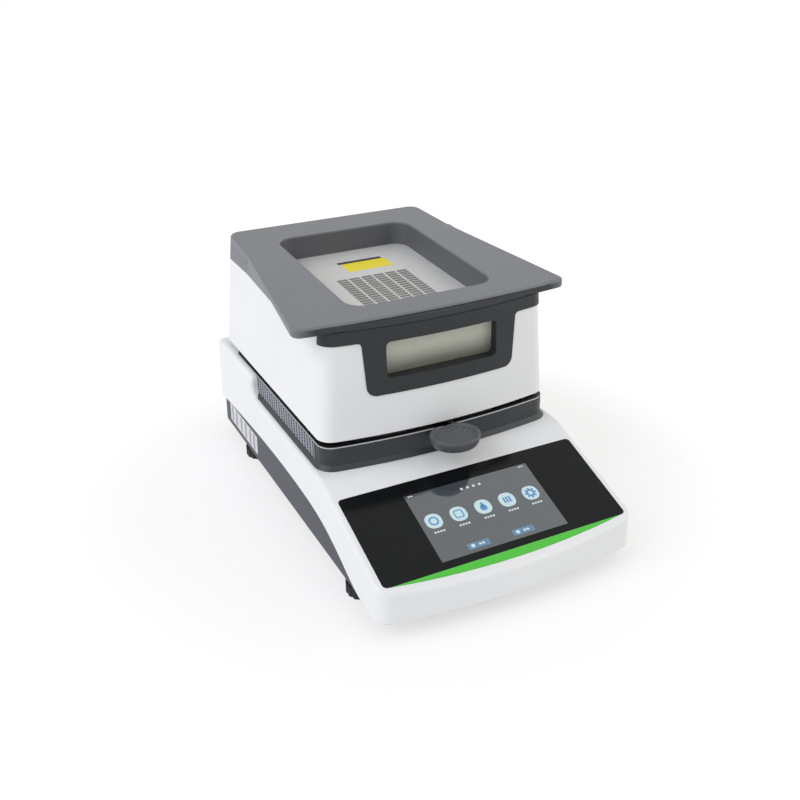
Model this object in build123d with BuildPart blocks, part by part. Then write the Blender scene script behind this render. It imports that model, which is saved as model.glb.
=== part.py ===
from build123d import *
from math import atan2, cos, degrees, radians, sin, tan
import os

os.makedirs("parts", exist_ok=True)

# Halogen moisture analyzer, millimetres, front at -Y, standing on its four feet at Z = 0

# Base housing
base_half_width = 109.8
base_front = -176.5
base_bow = 11.0
base_rear = 187.5
base_front_radius = 14.0
base_rear_radius = 7.0
side_draft = 0.028
housing_wall = 3.0
housing_edge_radius = 4.0
cover_foot = 15.0
tub_floor = 10.5
tub_overlap = 4.0
deck_height = 77.0
shoulder_height = 96.0
shoulder_step = 88.0
crest_radius = 30.0
step_foot_radius = 9.0
step_top_radius = 6.0
fit_gap = 0.2

# Tub and its fasteners
tub_wall = 2.5
tub_edge_radius = 2.5
screw_x = 78.0
screw_front_y = -152.0
screw_middle_y = 0.0
screw_rear_y = 151.0
screw_radius = 1.8
screw_head_radius = 3.4
screw_head_height = 1.6
screw_length = 9.0
post_outer_radius = 5.0
vent_slot_pitch = 12.0
vent_slot_length = 40.0
vent_slot_width = 3.0
vent_slot_count = 8

# Display on the sloped front
slope_top = (-93.5, 69.5)
slope_angle = 18.6
glass_side_gap = 6.8
glass_half_width = base_half_width - glass_side_gap
glass_length = 83.1
glass_bow = 8.2
glass_radius = 3.5
glass_thickness = 2.0
glass_gap = 0.25
accent_line = 84.0
screen_width = 108.0
screen_height = 64.8
screen_offset = 12.6
screen_sink = 0.1
module_border = 4.0
module_depth = 6.0
board_thickness = 1.6
board_spacing = 9.0
bracket_thickness = 1.2
standoff_radius = 3.0

# Sample chamber
chamber_centre = 30.0
ring_side_gap = 8.8
ring_half_width = base_half_width - ring_side_gap
ring_front = -61.8
ring_bow = 8.5
ring_rear = 152.0
ring_radius = 13.0
ring_wall = 4.0
ring_top = 96.5
ring_flare = 3.0
ring_flare_height = 3.5
grille_front = -44.0
grille_rear = 92.0
grille_bottom = 80.0
grille_top = 93.2
grille_thickness = 1.6
grille_hole = 2.1
grille_pitch = 5.5
grille_row = 2.6
grille_rows = 5
grille_sink = 0.4
ring_edge_radius = 1.2
floor_thickness = 1.5
draft_ring_radius = 59.0
draft_ring_wall = 2.5
draft_ring_height = 10.7
handler_inner = 47.5
handler_outer = 60.0
handler_thickness = 2.5
handler_neck = 16.0
rest_gap = 0.3
pan_base_radius = 43.0
pan_mouth_radius = 46.2
pan_rim_radius = 50.0
pan_wall = 0.6
pan_depth = 7.0
support_radius = 35.0
support_thickness = 2.0
post_radius = 4.0
post_hole = 7.0
post_flange_height = 3.0
support_arm_width = 6.0
neck_clearance = 1.0
cell_length = 120.0
cell_width = 26.0
cell_height = 22.0
cell_bottom = 30.0
cell_seat = 28.0
cell_end = 10.0
cell_flexure_pitch = 36.0
cell_flexure_radius = 7.5
board_height = 20.0
power_board_x = 53.0
power_board_y = 95.0
power_board_width = 52.0
power_board_length = 90.0
level_side_gap = 27.0
level_x = ring_half_width - level_side_gap
level_y = -34.0
level_radius = 8.0
level_height = 5.0
bumper_front = -30.0
bumper_rear = 120.0
bumper_radius = 1.5

# Grip of the pan handler
grip_half_width = 20.5
grip_half_depth = 18.0
grip_centre = -87.7
grip_rear = -72.4
grip_top = 97.7
grip_insert = 14.0
grip_edge_radius = 1.0
grip_groove_count = 5
grip_groove_start = 9.0
grip_groove_pitch = 4.4
grip_groove_width = 1.8
grip_groove_depth = 0.6

# Lid
hood_side_gap = 0.5
hood_half_width = ring_half_width - hood_side_gap
hood_front_gap = 1.3
hood_front = ring_front + hood_front_gap
hood_bow = 9.5
hood_rear = 178.0
hood_foot_gap = 3.8
hood_foot = ring_top + hood_foot_gap
hood_front_radius = 13.0
hood_rear_radius = 8.0
hood_wall = 3.2
hood_side_draft = 0.067
hood_front_lean = 0.025
hood_rear_lean = 0.152
top_rear = (162.0, 205.0)
top_angle = 2.58
top_thickness = 7.0
top_rear_inset = 7.0
top_rear_half_width = hood_half_width - top_rear_inset
kink_distance = 64.0
kink_inset = 4.1
kink_half_width = hood_half_width - kink_inset
wing_reach = 16.5
wing_half_width = hood_half_width + wing_reach
wing_distance = 220.5
top_bow = 6.5
wing_radius = 7.0
top_rear_radius = 10.0
plate_edge_radius = 2.0
plate_lower_radius = 1.2
skirt_bottom = 182.0
skirt_front = 112.0
flare_front = 18.0
tray_half_width = 63.2
tray_front = -39.6
tray_rear = 125.7
tray_radius = 16.0
tray_depth = 20.0
tray_taper = 8.0
tray_collar_wall = 2.5
tray_plate_thickness = 1.2
tray_plate_margin = 6.0
vent_columns = 6
vent_rows = 13
vent_column_pitch = 11.2
vent_row_pitch = 4.7
vent_length = 9.4
vent_width = 2.2

# Front frame and window
band_bottom = 177.7
band_end = -50.0
notch_top_half_width = 66.1
notch_bottom_half_width = 62.9
notch_bottom = 133.6
notch_radius = 8.0
band_radius = 3.5
frame_proud = 0.8
frame_rebate = 1.6
window_half_width = 47.5
window_bottom = 146.3
window_top = 175.8
window_radius = 4.0
window_tube_rear = -56.5
window_tube_wall = 2.4
window_glass_thickness = 2.8
window_glass_lap = 1.5

# Heater in the lid
liner_inset = 22.5
liner_half_width = hood_half_width - liner_inset
liner_front = -50.0
liner_rear = 112.0
liner_bottom = 104.0
liner_top = 174.0
liner_wall = 1.0
reflector_radius = 61.5
reflector_crown = 38.0
reflector_bottom = 150.5
reflector_wall = 1.0
reflector_flange = 65.0
lamp_radius = 42.0
lamp_tube_radius = 5.0
lamp_height = 160.0
lamp_lead_spacing = 9.0
lamp_lead_radius = 2.5
heater_glass_radius = 60.0
heater_glass_thickness = 3.0
clamp_inner = 57.0
clamp_lip = 1.5
lip_gap = 0.3
glass_play = 0.1
holder_width = 36.0
holder_height = 14.0
holder_front = 97.0
sensor_radius = 2.5
sensor_height = 128.0
sensor_tip = 72.0
sensor_x = -22.0
lid_boss_inset = 8.0
lid_boss_x = hood_half_width - lid_boss_inset
lid_boss_front = -35.0
lid_boss_rear = 120.0
lid_boss_length = 18.0
liner_slot_spacing = 142.0
liner_slot_pitch = 30.0
liner_slot_count = 4
liner_slot_width = 5.0
liner_slot_length = 20.0

# Hinge
hinge_y = 179.0
hinge_drop = 2.3
hinge_z = hood_foot - hinge_drop
hinge_spacing = 70.0
hinge_pin_radius = 3.0
hinge_clearance = 0.05
knuckle_radius = 5.5
knuckle_width = 14.0
knuckle_gap = 0.4
ear_thickness = 3.0
arm_thickness = 3.2
arm_height = 34.0
arm_gap = 0.2
arm_web = 6.0
bracket_plate = 2.0
hinge_foot_gap = 0.4
hinge_notch_front = 165.0
hinge_notch_top = 106.0
hinge_pocket_floor = 90.0
hinge_boss_bottom = 78.0

# Feet
foot_inset = 17.8
foot_x = base_half_width - foot_inset
foot_front_y = -115.0
foot_rear_y = 121.0
foot_pad_radius = 15.0
foot_pad_height = 8.5
foot_flutes = 16
foot_flute_radius = 1.7
stud_radius = 4.0
stud_top = 31.0
stud_clearance = 0.05
stud_seat = 5.0
stud_chamfer = 0.8
bush_radius = 6.0
boss_radius = 9.0
boss_top = 27.0

# Rear panel
inlet_x = 66.0
switch_x = 30.0
port_x = -55.0
panel_centre = 24.0
inlet_width = 30.0
inlet_height = 22.5
inlet_bezel = 2.0
inlet_depth = 22.0
socket_width = 24.0
socket_height = 16.5
socket_chamfer = 3.0
socket_depth = 18.0
pin_spacing = 7.0
pin_rise = 2.2
pin_thickness = 2.0
pin_width = 4.0
pin_length = 15.0
switch_width = 13.0
switch_height = 19.0
switch_bezel = 1.6
switch_tilt = 8.0
switch_depth = 14.0
switch_pivot_depth = 1.0
rocker_well = 5.5
rocker_gap = 0.35
rocker_thickness = 4.0
trunnion_radius = 1.2
trunnion_length = 1.0
port_width = 24.0
port_height = 10.5
port_flange_width = 30.8
port_flange_height = 12.5
port_flange_thickness = 0.8
port_body_depth = 10.0
port_shell_width = 17.0
port_shell_height = 8.4
port_shell_wall = 0.6
port_screw_spacing = 12.5
port_screw_radius = 2.8
port_proud = 2.2

# Frames of reference shared by the pieces
slope_plane = Plane(
    origin=(0, slope_top[0], slope_top[1]),
    x_dir=(1, 0, 0),
    z_dir=(0, -sin(radians(slope_angle)), cos(radians(slope_angle))),
)
top_plane = Plane(
    origin=(0, top_rear[0], top_rear[1]),
    x_dir=(1, 0, 0),
    z_dir=(0, -sin(radians(top_angle)), cos(radians(top_angle))),
)
wide = 400.0
tall = 300.0
runout = 60.0

# Lower edge of the white housing in the side view, as points of a curve from the front to the rear
edge_points = [(-215, 15), (-165, 15.3), (-140, 18.5), (-110, 30), (-72, 42), (-30, 46.4), (60, 46.7)]
edge_points += [(125, 43.5), (215, 36.5)]


def slope_height(y):
    """Height of the display plane at a distance along Y."""
    return slope_top[1] + (y - slope_top[0]) * tan(radians(slope_angle))


def top_height(y, depth=0.0):
    """Height of the lid's top plane at Y, lowered square to the plane by depth."""
    return top_rear[1] + (y - top_rear[0]) * tan(radians(top_angle)) - depth / cos(radians(top_angle))


def bowed_plan(half_width, front, rear, bow, front_radius, rear_radius):
    """Rounded rectangle whose front edge bows outwards in an arc."""
    with BuildSketch() as plan:
        with BuildLine():
            Polyline((-half_width, front), (-half_width, rear), (half_width, rear), (half_width, front))
            ThreePointArc((half_width, front), (0, front - bow), (-half_width, front))
        make_face()
        corners = plan.vertices().group_by(Axis.Y)
        fillet(corners[0], front_radius)
        fillet(plan.vertices().group_by(Axis.Y)[-1], rear_radius)
    return plan.sketch


def housing_plan(z, inset):
    """Plan of the base housing at a height, inset from its outer face."""
    return bowed_plan(
        base_half_width - (z - cover_foot) * side_draft - inset,
        base_front + inset,
        base_rear - inset,
        base_bow,
        base_front_radius - inset,
        base_rear_radius - inset,
    )


def hood_plan(z, inset):
    """Plan of the lid's hood at a height, inset from its outer face."""
    rise = z - hood_foot
    return bowed_plan(
        hood_half_width - rise * hood_side_draft - inset,
        hood_front + rise * hood_front_lean + inset,
        hood_rear - rise * hood_rear_lean - inset,
        hood_bow,
        hood_front_radius - inset,
        hood_rear_radius - inset,
    )


def block_between(plan, low, high, inset):
    """Solid that runs from a plan at one height to the same plan at another."""
    with BuildPart() as block:
        with BuildSketch(Plane.XY.offset(low)):
            add(plan(low, inset))
        with BuildSketch(Plane.XY.offset(high)):
            add(plan(high, inset))
        loft()
    return block.part


def side_prism(outline):
    """Prism right across the object from an outline in the side view."""
    with BuildPart() as prism:
        with BuildSketch(Plane.YZ):
            add(outline)
        extrude(amount=wide / 2, both=True)
    return prism.part


def lower_edge(shift):
    """Curved lower edge of the white housing in the side view, from the front to the rear."""
    return [(y, z + shift) for y, z in edge_points]


def housing_side(inset, step_y, shift):
    """Side view of the housing between its curved lower edge and its deck, slope and shoulder."""
    edge = lower_edge(shift)
    front, rear = edge[0], edge[-1]
    drop = inset / cos(radians(slope_angle))
    deck = deck_height - inset
    crest_y = slope_top[0] + (deck + drop - slope_top[1]) / tan(radians(slope_angle))
    with BuildSketch() as side:
        with BuildLine():
            Spline(*edge)
            Polyline(
                rear,
                (rear[0], shoulder_height - inset),
                (step_y, shoulder_height - inset),
                (step_y, deck),
                (crest_y, deck),
                (front[0], slope_height(front[0]) - drop),
                front,
            )
        make_face()
        crest = side.vertices().sort_by_distance((crest_y, deck))[0]
        fillet(crest, crest_radius)
        fillet(side.vertices().sort_by_distance((step_y, deck))[0], step_foot_radius)
        fillet(side.vertices().sort_by_distance((step_y, shoulder_height - inset))[0], step_top_radius)
    return side.sketch


def ring_plan(offset_out):
    """Plan of the chamber ring, offset outwards."""
    return bowed_plan(
        ring_half_width + offset_out,
        ring_front - offset_out,
        ring_rear + offset_out,
        ring_bow,
        ring_radius + offset_out,
        ring_radius + offset_out,
    )


def ring_block(offset_out, high):
    """Chamber ring as a solid block: a flared foot on the deck and straight walls up to a height."""
    flare_top = deck_height + ring_flare_height
    with BuildPart() as block:
        with BuildSketch(Plane.XY.offset(deck_height)):
            add(ring_plan(ring_flare + offset_out))
        with BuildSketch(Plane.XY.offset(flare_top)):
            add(ring_plan(offset_out))
        loft()
        with BuildSketch(Plane.XY.offset(flare_top)):
            add(ring_plan(offset_out))
        extrude(amount=high - flare_top)
    return block.part


def tray_outline(inset):
    """Rounded opening of the tray in the lid's top plane, inset from its mouth."""
    length = (tray_rear - tray_front) / cos(radians(top_angle))
    middle = ((tray_rear + tray_front) / 2 - top_rear[0]) / cos(radians(top_angle))
    with BuildSketch() as outline:
        with Locations((0, middle)):
            RectangleRounded(2 * (tray_half_width - inset), length - 2 * inset, tray_radius - inset)
    return outline.sketch


def tray_block(inset, over):
    """Tapered block of the tray's hollow, from its mouth down to its floor."""
    narrowing = tray_depth * tan(radians(tray_taper))
    with BuildPart() as block:
        with BuildSketch(top_plane.offset(over)):
            add(tray_outline(inset))
        with BuildSketch(top_plane.offset(-tray_depth)):
            add(tray_outline(inset + narrowing))
        loft()
    return block.part


def joint_region(high):
    """Side view of what lies above the joint between hood and top cover, up to a line over the top."""
    front, rear = hood_front - runout, hood_rear + runout
    with BuildSketch() as region:
        with BuildLine():
            Polyline(
                (rear, skirt_bottom),
                (skirt_front, skirt_bottom),
                (flare_front, top_height(flare_front, top_thickness)),
                (front, top_height(front, top_thickness)),
                (front, top_height(front, -high)),
                (rear, top_height(rear, -high)),
                close=True,
            )
        make_face()
    return region.sketch


def under_plate():
    """Side view of everything below the top cover's plate."""
    with BuildSketch() as region:
        with BuildLine():
            Polyline(
                (-wide, 0),
                (wide, 0),
                (wide, top_height(wide, top_thickness)),
                (-wide, top_height(-wide, top_thickness)),
                close=True,
            )
        make_face()
    return region.sketch


def frame_outline(grow):
    """Front view of the T-shaped frame: a band under the top cover and a window surround below it."""
    with BuildSketch() as outline:
        with BuildLine():
            Polyline(
                (-wing_half_width, tall),
                (-wing_half_width, band_bottom - grow),
                (-notch_top_half_width - grow, band_bottom - grow),
                (-notch_bottom_half_width - grow, notch_bottom - grow),
                (notch_bottom_half_width + grow, notch_bottom - grow),
                (notch_top_half_width + grow, band_bottom - grow),
                (wing_half_width, band_bottom - grow),
                (wing_half_width, tall),
                close=True,
            )
        make_face()
        fillet(outline.vertices().group_by(Axis.Y)[0], notch_radius)
        for side in (-1, 1):
            corner = (side * (notch_top_half_width + grow), band_bottom - grow)
            fillet(outline.vertices().sort_by_distance(corner)[0], band_radius)
    return outline.sketch


def window_outline(grow):
    """Front view of the window opening."""
    with BuildSketch() as outline:
        with Locations((0, (window_bottom + window_top) / 2)):
            RectangleRounded(
                2 * (window_half_width + grow), window_top - window_bottom + 2 * grow, window_radius + grow
            )
    return outline.sketch


def front_prism(outline, rear, front):
    """Prism along Y from an outline in the front view, between two places along Y."""
    with BuildPart() as prism:
        with BuildSketch(Plane.XZ.offset(-rear)):
            add(outline)
        extrude(amount=rear - front)
    return prism.part


def facet_prism(corners, keep):
    """Prism of a triangle of the side view, cut along the flat facet through its three corners."""
    first, second, third = (Vector(*corner) for corner in corners)
    facet = Plane(origin=first, x_dir=second - first, z_dir=(second - first).cross(third - first))
    if facet.z_dir.X > 0:
        facet = Plane(origin=first, x_dir=second - first, z_dir=-facet.z_dir)
    with BuildPart() as prism:
        with BuildSketch(Plane.YZ):
            with BuildLine():
                Polyline(*[(corner[1], corner[2]) for corner in corners], close=True)
            make_face()
        extrude(amount=-wide / 2)
        split(bisect_by=facet, keep=keep)
    return prism.part


def glass_outline(offset_in):
    """Outline of the display glass on the slope, with its bowed lower edge, offset inwards."""
    half = glass_half_width - offset_in
    low = -glass_length + offset_in
    with BuildSketch() as outline:
        with BuildLine():
            Polyline((-half, low), (-half, -offset_in), (half, -offset_in), (half, low))
            ThreePointArc((half, low), (0, low - glass_bow), (-half, low))
        make_face()
        fillet(outline.vertices(), glass_radius)
    return outline.sketch


screen_centre = -(screen_offset + screen_height / 2)
module_height = screen_height + 2 * module_border
module_width = screen_width + 2 * module_border
sides = (-1, 1)
pocket_half_width = knuckle_width / 2 + knuckle_gap + ear_thickness + 0.6
pocket_front = hinge_y - 12.0
pocket_rear = base_rear - 2.4
foot_places = {
    "front_left": (-foot_x, foot_front_y),
    "front_right": (foot_x, foot_front_y),
    "rear_left": (-foot_x, foot_rear_y),
    "rear_right": (foot_x, foot_rear_y),
}
tub_inset = housing_wall + fit_gap
tub_floor_top = tub_floor + tub_wall
panel_outer = base_rear - tub_inset
screw_places = [(side * screw_x, y) for side in sides for y in (screw_front_y, screw_middle_y, screw_rear_y)]
floor_top = deck_height + floor_thickness
bumper_x = ring_half_width - ring_wall / 2
bumper_places = [(side * bumper_x, y) for side in sides for y in (bumper_front, bumper_rear)]
glass_front = window_tube_rear - window_glass_thickness
handler_bottom = floor_top + draft_ring_height + rest_gap
handler_top = handler_bottom + handler_thickness
support_top = handler_top + 1.0 - pan_depth + pan_wall - rest_gap
pan_bottom = support_top + rest_gap
liner_ceiling = liner_top - liner_wall

# White upper housing
cavity_step = ring_rear + housing_wall + 4.0
cavity = block_between(housing_plan, 0, shoulder_height, housing_wall) & side_prism(
    housing_side(housing_wall, cavity_step, -tall / 2)
)
with BuildPart() as base_cover:
    add(block_between(housing_plan, 0, shoulder_height, 0) & side_prism(housing_side(0, shoulder_step, 0)))
    upper_faces = base_cover.faces().filter_by(lambda f: f.normal_at().Z > 0.2)
    side_faces = base_cover.faces().filter_by(lambda f: abs(f.normal_at().Z) < 0.1)
    side_edges = [edge.wrapped for face in side_faces for edge in face.edges()]
    rim = upper_faces.edges().filter_by(lambda e: any(e.wrapped.IsSame(other) for other in side_edges))
    fillet(rim, housing_edge_radius)
    add(cavity, mode=Mode.SUBTRACT)
    with BuildSketch(Plane.XY.offset(tub_floor_top + fit_gap)):
        with Locations(*screw_places):
            Circle(post_outer_radius)
    extrude(until=Until.NEXT)
    with BuildSketch(Plane.XY.offset(hinge_boss_bottom)):
        with Locations(*[(side * hinge_spacing, (pocket_front + pocket_rear) / 2) for side in sides]):
            Rectangle(2 * pocket_half_width + 5, pocket_rear - pocket_front + 3)
    extrude(amount=shoulder_height - housing_wall - hinge_boss_bottom + 1)
    with BuildSketch(Plane.XY):
        with Locations(*screw_places):
            Circle(screw_radius + fit_gap)
    extrude(amount=tub_floor_top + screw_length, mode=Mode.SUBTRACT)
    add(ring_block(fit_gap, tall), mode=Mode.SUBTRACT)
    with BuildSketch(slope_plane):
        add(glass_outline(-glass_gap))
    extrude(amount=-glass_thickness, mode=Mode.SUBTRACT)
    with BuildSketch(slope_plane):
        with Locations((0, screen_centre)):
            Rectangle(module_width + 2 * fit_gap, module_height + 2 * fit_gap)
    extrude(amount=-4 * housing_wall, mode=Mode.SUBTRACT)
    with BuildSketch(Plane.XY.offset(deck_height)):
        with Locations((0, chamber_centre)):
            Circle(support_radius)
    extrude(amount=-2 * housing_wall, mode=Mode.SUBTRACT)
    with BuildSketch(Plane.XY.offset(hinge_pocket_floor)):
        with Locations(*[(side * hinge_spacing, (pocket_front + pocket_rear) / 2) for side in sides]):
            Rectangle(2 * pocket_half_width, pocket_rear - pocket_front)
    extrude(amount=tall, mode=Mode.SUBTRACT)
base_cover.part.label = "base_cover"
export_step(base_cover.part, "parts/base_cover.step")

# Dark lower tub with foot bosses, vent slots and the openings of the rear panel
with BuildSketch() as tub_side:
    tub_edge = lower_edge(tub_overlap)
    with BuildLine():
        Spline(*tub_edge)
        Polyline(tub_edge[-1], (tub_edge[-1][0], tub_floor), (tub_edge[0][0], tub_floor), tub_edge[0])
    make_face()
with BuildPart() as bottom_chassis:
    add(block_between(housing_plan, tub_floor, shoulder_height, tub_inset) & side_prism(tub_side.sketch))
    fillet(bottom_chassis.faces().sort_by(Axis.Z)[0].edges(), tub_edge_radius)
    add(block_between(housing_plan, tub_floor_top, shoulder_height, tub_inset + tub_wall), mode=Mode.SUBTRACT)
    with BuildSketch(Plane.XY.offset(tub_floor)):
        with Locations(*foot_places.values()):
            Circle(boss_radius)
    extrude(amount=boss_top - tub_floor)
    with BuildSketch(Plane.XY.offset(tub_floor)):
        with Locations(*foot_places.values()):
            Circle(bush_radius)
        with Locations(*screw_places):
            Circle(screw_radius + fit_gap)
        with GridLocations(vent_slot_pitch, vent_slot_length + 12, vent_slot_count, 2):
            Rectangle(vent_slot_width, vent_slot_length)
    extrude(amount=tall, mode=Mode.SUBTRACT)
    with BuildSketch(Plane.XY.offset(tub_floor)):
        with Locations(*screw_places):
            Circle(screw_head_radius + fit_gap)
    extrude(amount=screw_head_height, mode=Mode.SUBTRACT)
    with BuildSketch(Plane.XZ.offset(-panel_outer - 1)):
        with Locations((inlet_x, panel_centre)):
            Rectangle(inlet_width - 2 * inlet_bezel, inlet_height - 2 * inlet_bezel)
        with Locations((switch_x, panel_centre)):
            Rectangle(switch_width + 2 * fit_gap, switch_height + 2 * fit_gap)
        with Locations((port_x, panel_centre)):
            Rectangle(port_width + 2 * fit_gap, port_height + 2 * fit_gap)
    extrude(amount=tub_wall + 2, mode=Mode.SUBTRACT)
bottom_chassis.part.label = "bottom_chassis"
export_step(bottom_chassis.part, "parts/bottom_chassis.step")

# Countersunk pan-head screws that hold the tub to the housing
with BuildPart() as chassis_screws:
    with BuildSketch(Plane.XY.offset(tub_floor)):
        with Locations(*screw_places):
            Circle(screw_head_radius)
    extrude(amount=screw_head_height)
    with BuildSketch(Plane.XY.offset(tub_floor)):
        with Locations(*screw_places):
            Circle(screw_radius)
    extrude(amount=tub_wall + screw_length - 1)
chassis_screws.part.label = "chassis_screws"
export_step(chassis_screws.part, "parts/chassis_screws.step")

# Brass bushes that the foot studs screw through
with BuildPart() as foot_bushes:
    with BuildSketch(Plane.XY.offset(tub_floor)):
        with Locations(*foot_places.values()):
            Circle(bush_radius)
            Circle(stud_radius + stud_clearance, mode=Mode.SUBTRACT)
    extrude(amount=boss_top - tub_floor)
foot_bushes.part.label = "foot_bushes"
export_step(foot_bushes.part, "parts/foot_bushes.step")

# Levelling feet: a fluted pad turns on the end of each stud
for place, (x, y) in foot_places.items():
    with BuildPart() as foot_pad:
        with BuildSketch(Plane.XY):
            with Locations((x, y)):
                Circle(foot_pad_radius)
                with PolarLocations(foot_pad_radius + foot_flute_radius / 2, foot_flutes):
                    Circle(foot_flute_radius, mode=Mode.SUBTRACT)
        extrude(amount=foot_pad_height)
        with BuildSketch(Plane.XY.offset(foot_pad_height - stud_seat)):
            with Locations((x, y)):
                Circle(stud_radius + stud_clearance)
        extrude(amount=stud_seat, mode=Mode.SUBTRACT)
    foot_pad.part.label = "foot_pad_" + place
    export_step(foot_pad.part, "parts/foot_pad_" + place + ".step")
    with BuildPart() as foot_stud:
        with BuildSketch(Plane.XY.offset(foot_pad_height - stud_seat + stud_clearance)):
            with Locations((x, y)):
                Circle(stud_radius)
        extrude(amount=stud_top - foot_pad_height + stud_seat)
        chamfer(foot_stud.edges().sort_by(Axis.Z)[-1], stud_chamfer)
    foot_stud.part.label = "foot_stud_" + place
    export_step(foot_stud.part, "parts/foot_stud_" + place + ".step")

# Display: black glass with the screen behind it, and the green strip under its straight lower edge
with BuildSketch() as accent_region:
    with Locations((0, -accent_line - glass_length / 2)):
        Rectangle(wide, glass_length)
with BuildPart() as display_glass:
    with BuildSketch(slope_plane):
        add(glass_outline(0))
        add(accent_region.sketch, mode=Mode.SUBTRACT)
        with Locations((0, screen_centre)):
            Rectangle(screen_width + 2 * fit_gap, screen_height + 2 * fit_gap, mode=Mode.SUBTRACT)
    extrude(amount=-glass_thickness)
display_glass.part.label = "display_glass"
export_step(display_glass.part, "parts/display_glass.step")

with BuildPart() as accent_strip:
    with BuildSketch(slope_plane):
        add(glass_outline(0))
        add(accent_region.sketch, mode=Mode.INTERSECT)
    extrude(amount=-glass_thickness)
accent_strip.part.label = "accent_strip"
export_step(accent_strip.part, "parts/accent_strip.step")

with BuildPart() as touch_display:
    with BuildSketch(slope_plane.offset(-glass_thickness)):
        with Locations((0, screen_centre)):
            Rectangle(module_width, module_height)
    extrude(amount=-module_depth)
    with BuildSketch(slope_plane.offset(-glass_thickness)):
        with Locations((0, screen_centre)):
            Rectangle(screen_width, screen_height)
    extrude(amount=glass_thickness - screen_sink)
touch_display.part.label = "touch_display"
export_step(touch_display.part, "parts/touch_display.step")

module_back = glass_thickness + module_depth
with BuildPart() as display_bracket:
    with BuildSketch(slope_plane.offset(-module_back)):
        with Locations((0, screen_centre)):
            Rectangle(module_width, module_height)
            Rectangle(module_width - 24, module_height - 24, mode=Mode.SUBTRACT)
    extrude(amount=-bracket_thickness)
    with BuildSketch(slope_plane.offset(-module_back - bracket_thickness)):
        with Locations((0, screen_centre)):
            with GridLocations(module_width - 12, module_height - 12, 2, 2):
                Circle(standoff_radius)
    extrude(amount=-board_spacing)
display_bracket.part.label = "display_bracket"
export_step(display_bracket.part, "parts/display_bracket.step")

board_depth = module_back + bracket_thickness + board_spacing
with BuildPart() as main_board:
    with BuildSketch(slope_plane.offset(-board_depth)):
        with Locations((0, screen_centre)):
            Rectangle(module_width, module_height)
    extrude(amount=-board_thickness)
    with BuildSketch(slope_plane.offset(-board_depth)):
        with Locations((0, screen_centre)):
            Rectangle(18, 18)
        with Locations((-34, screen_centre + 20), (34, screen_centre + 20)):
            Rectangle(30, 7)
        with Locations((36, screen_centre - 12)):
            Rectangle(12, 16)
    extrude(amount=board_spacing / 2)
main_board.part.label = "main_board"
export_step(main_board.part, "parts/main_board.step")

# Collar round the sample chamber, with a grille let into each side
grille_middle = ((grille_front + grille_rear) / 2, (grille_bottom + grille_top) / 2)
grille_length = grille_rear - grille_front
grille_height = grille_top - grille_bottom
with BuildPart() as chamber_ring:
    add(ring_block(0, ring_top))
    fillet(chamber_ring.faces().sort_by(Axis.Z)[-1].edges(), ring_edge_radius)
    with BuildSketch(Plane.XY.offset(deck_height)):
        add(ring_plan(-ring_wall))
    extrude(amount=tall, mode=Mode.SUBTRACT)
    for side in sides:
        with BuildSketch(Plane.YZ.offset(side * (ring_half_width - grille_sink - grille_thickness))):
            with Locations(grille_middle):
                Rectangle(grille_length + fit_gap, grille_height + fit_gap)
        extrude(amount=side * ring_wall, mode=Mode.SUBTRACT)
    with BuildSketch(Plane.YZ):
        with Locations(grille_middle):
            Rectangle(grille_length - 3, grille_height - 2)
    extrude(amount=wide / 2, both=True, mode=Mode.SUBTRACT)
    with BuildSketch(Plane.XZ.offset(-ring_front - ring_radius)):
        with Locations((0, handler_bottom - rest_gap + tall / 2)):
            Rectangle(handler_neck + 2 * neck_clearance, tall)
    extrude(amount=3 * ring_radius, mode=Mode.SUBTRACT)
chamber_ring.part.label = "chamber_ring"
export_step(chamber_ring.part, "parts/chamber_ring.step")

hole_columns = int((grille_length - grille_pitch) / grille_pitch)
first_hole = grille_middle[0] - (hole_columns - 1) / 2 * grille_pitch - grille_pitch / 4
grille_holes = [
    (
        first_hole + (column + 0.5 * (row % 2)) * grille_pitch,
        grille_middle[1] + (row - (grille_rows - 1) / 2) * grille_row,
    )
    for row in range(grille_rows)
    for column in range(hole_columns)
]
for side, name in zip(sides, ("side_grille_left", "side_grille_right")):
    with BuildPart() as side_grille:
        with BuildSketch(Plane.YZ.offset(side * (ring_half_width - grille_sink))):
            with Locations(grille_middle):
                Rectangle(grille_length, grille_height)
            with Locations(*grille_holes):
                Rectangle(grille_hole, grille_hole, rotation=45, mode=Mode.SUBTRACT)
        extrude(amount=-side * grille_thickness)
    side_grille.part.label = name
    export_step(side_grille.part, "parts/" + name + ".step")

# Steel floor of the chamber and the draft ring round the pan
with BuildPart() as chamber_floor:
    with BuildSketch(Plane.XY.offset(deck_height)):
        add(ring_plan(-ring_wall - fit_gap))
        with Locations((0, chamber_centre)):
            Circle(post_hole, mode=Mode.SUBTRACT)
    extrude(amount=floor_thickness)
chamber_floor.part.label = "chamber_floor"
export_step(chamber_floor.part, "parts/chamber_floor.step")

with BuildPart() as draft_ring:
    with BuildSketch(Plane.XY.offset(floor_top)):
        with Locations((0, chamber_centre)):
            Circle(draft_ring_radius)
            Circle(draft_ring_radius - draft_ring_wall, mode=Mode.SUBTRACT)
    extrude(amount=draft_ring_height)
draft_ring.part.label = "draft_ring"
export_step(draft_ring.part, "parts/draft_ring.step")

# Weighing train: load cell on its bracket, post through the floor, three-armed pan support
with BuildPart() as load_cell_bracket:
    with BuildSketch(Plane.XY.offset(tub_floor_top)):
        with Locations((0, chamber_centre + cell_length - cell_seat / 2 - cell_end)):
            Rectangle(cell_width + 12, cell_seat)
    extrude(amount=cell_bottom - tub_floor_top)
load_cell_bracket.part.label = "load_cell_bracket"
export_step(load_cell_bracket.part, "parts/load_cell_bracket.step")

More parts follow.
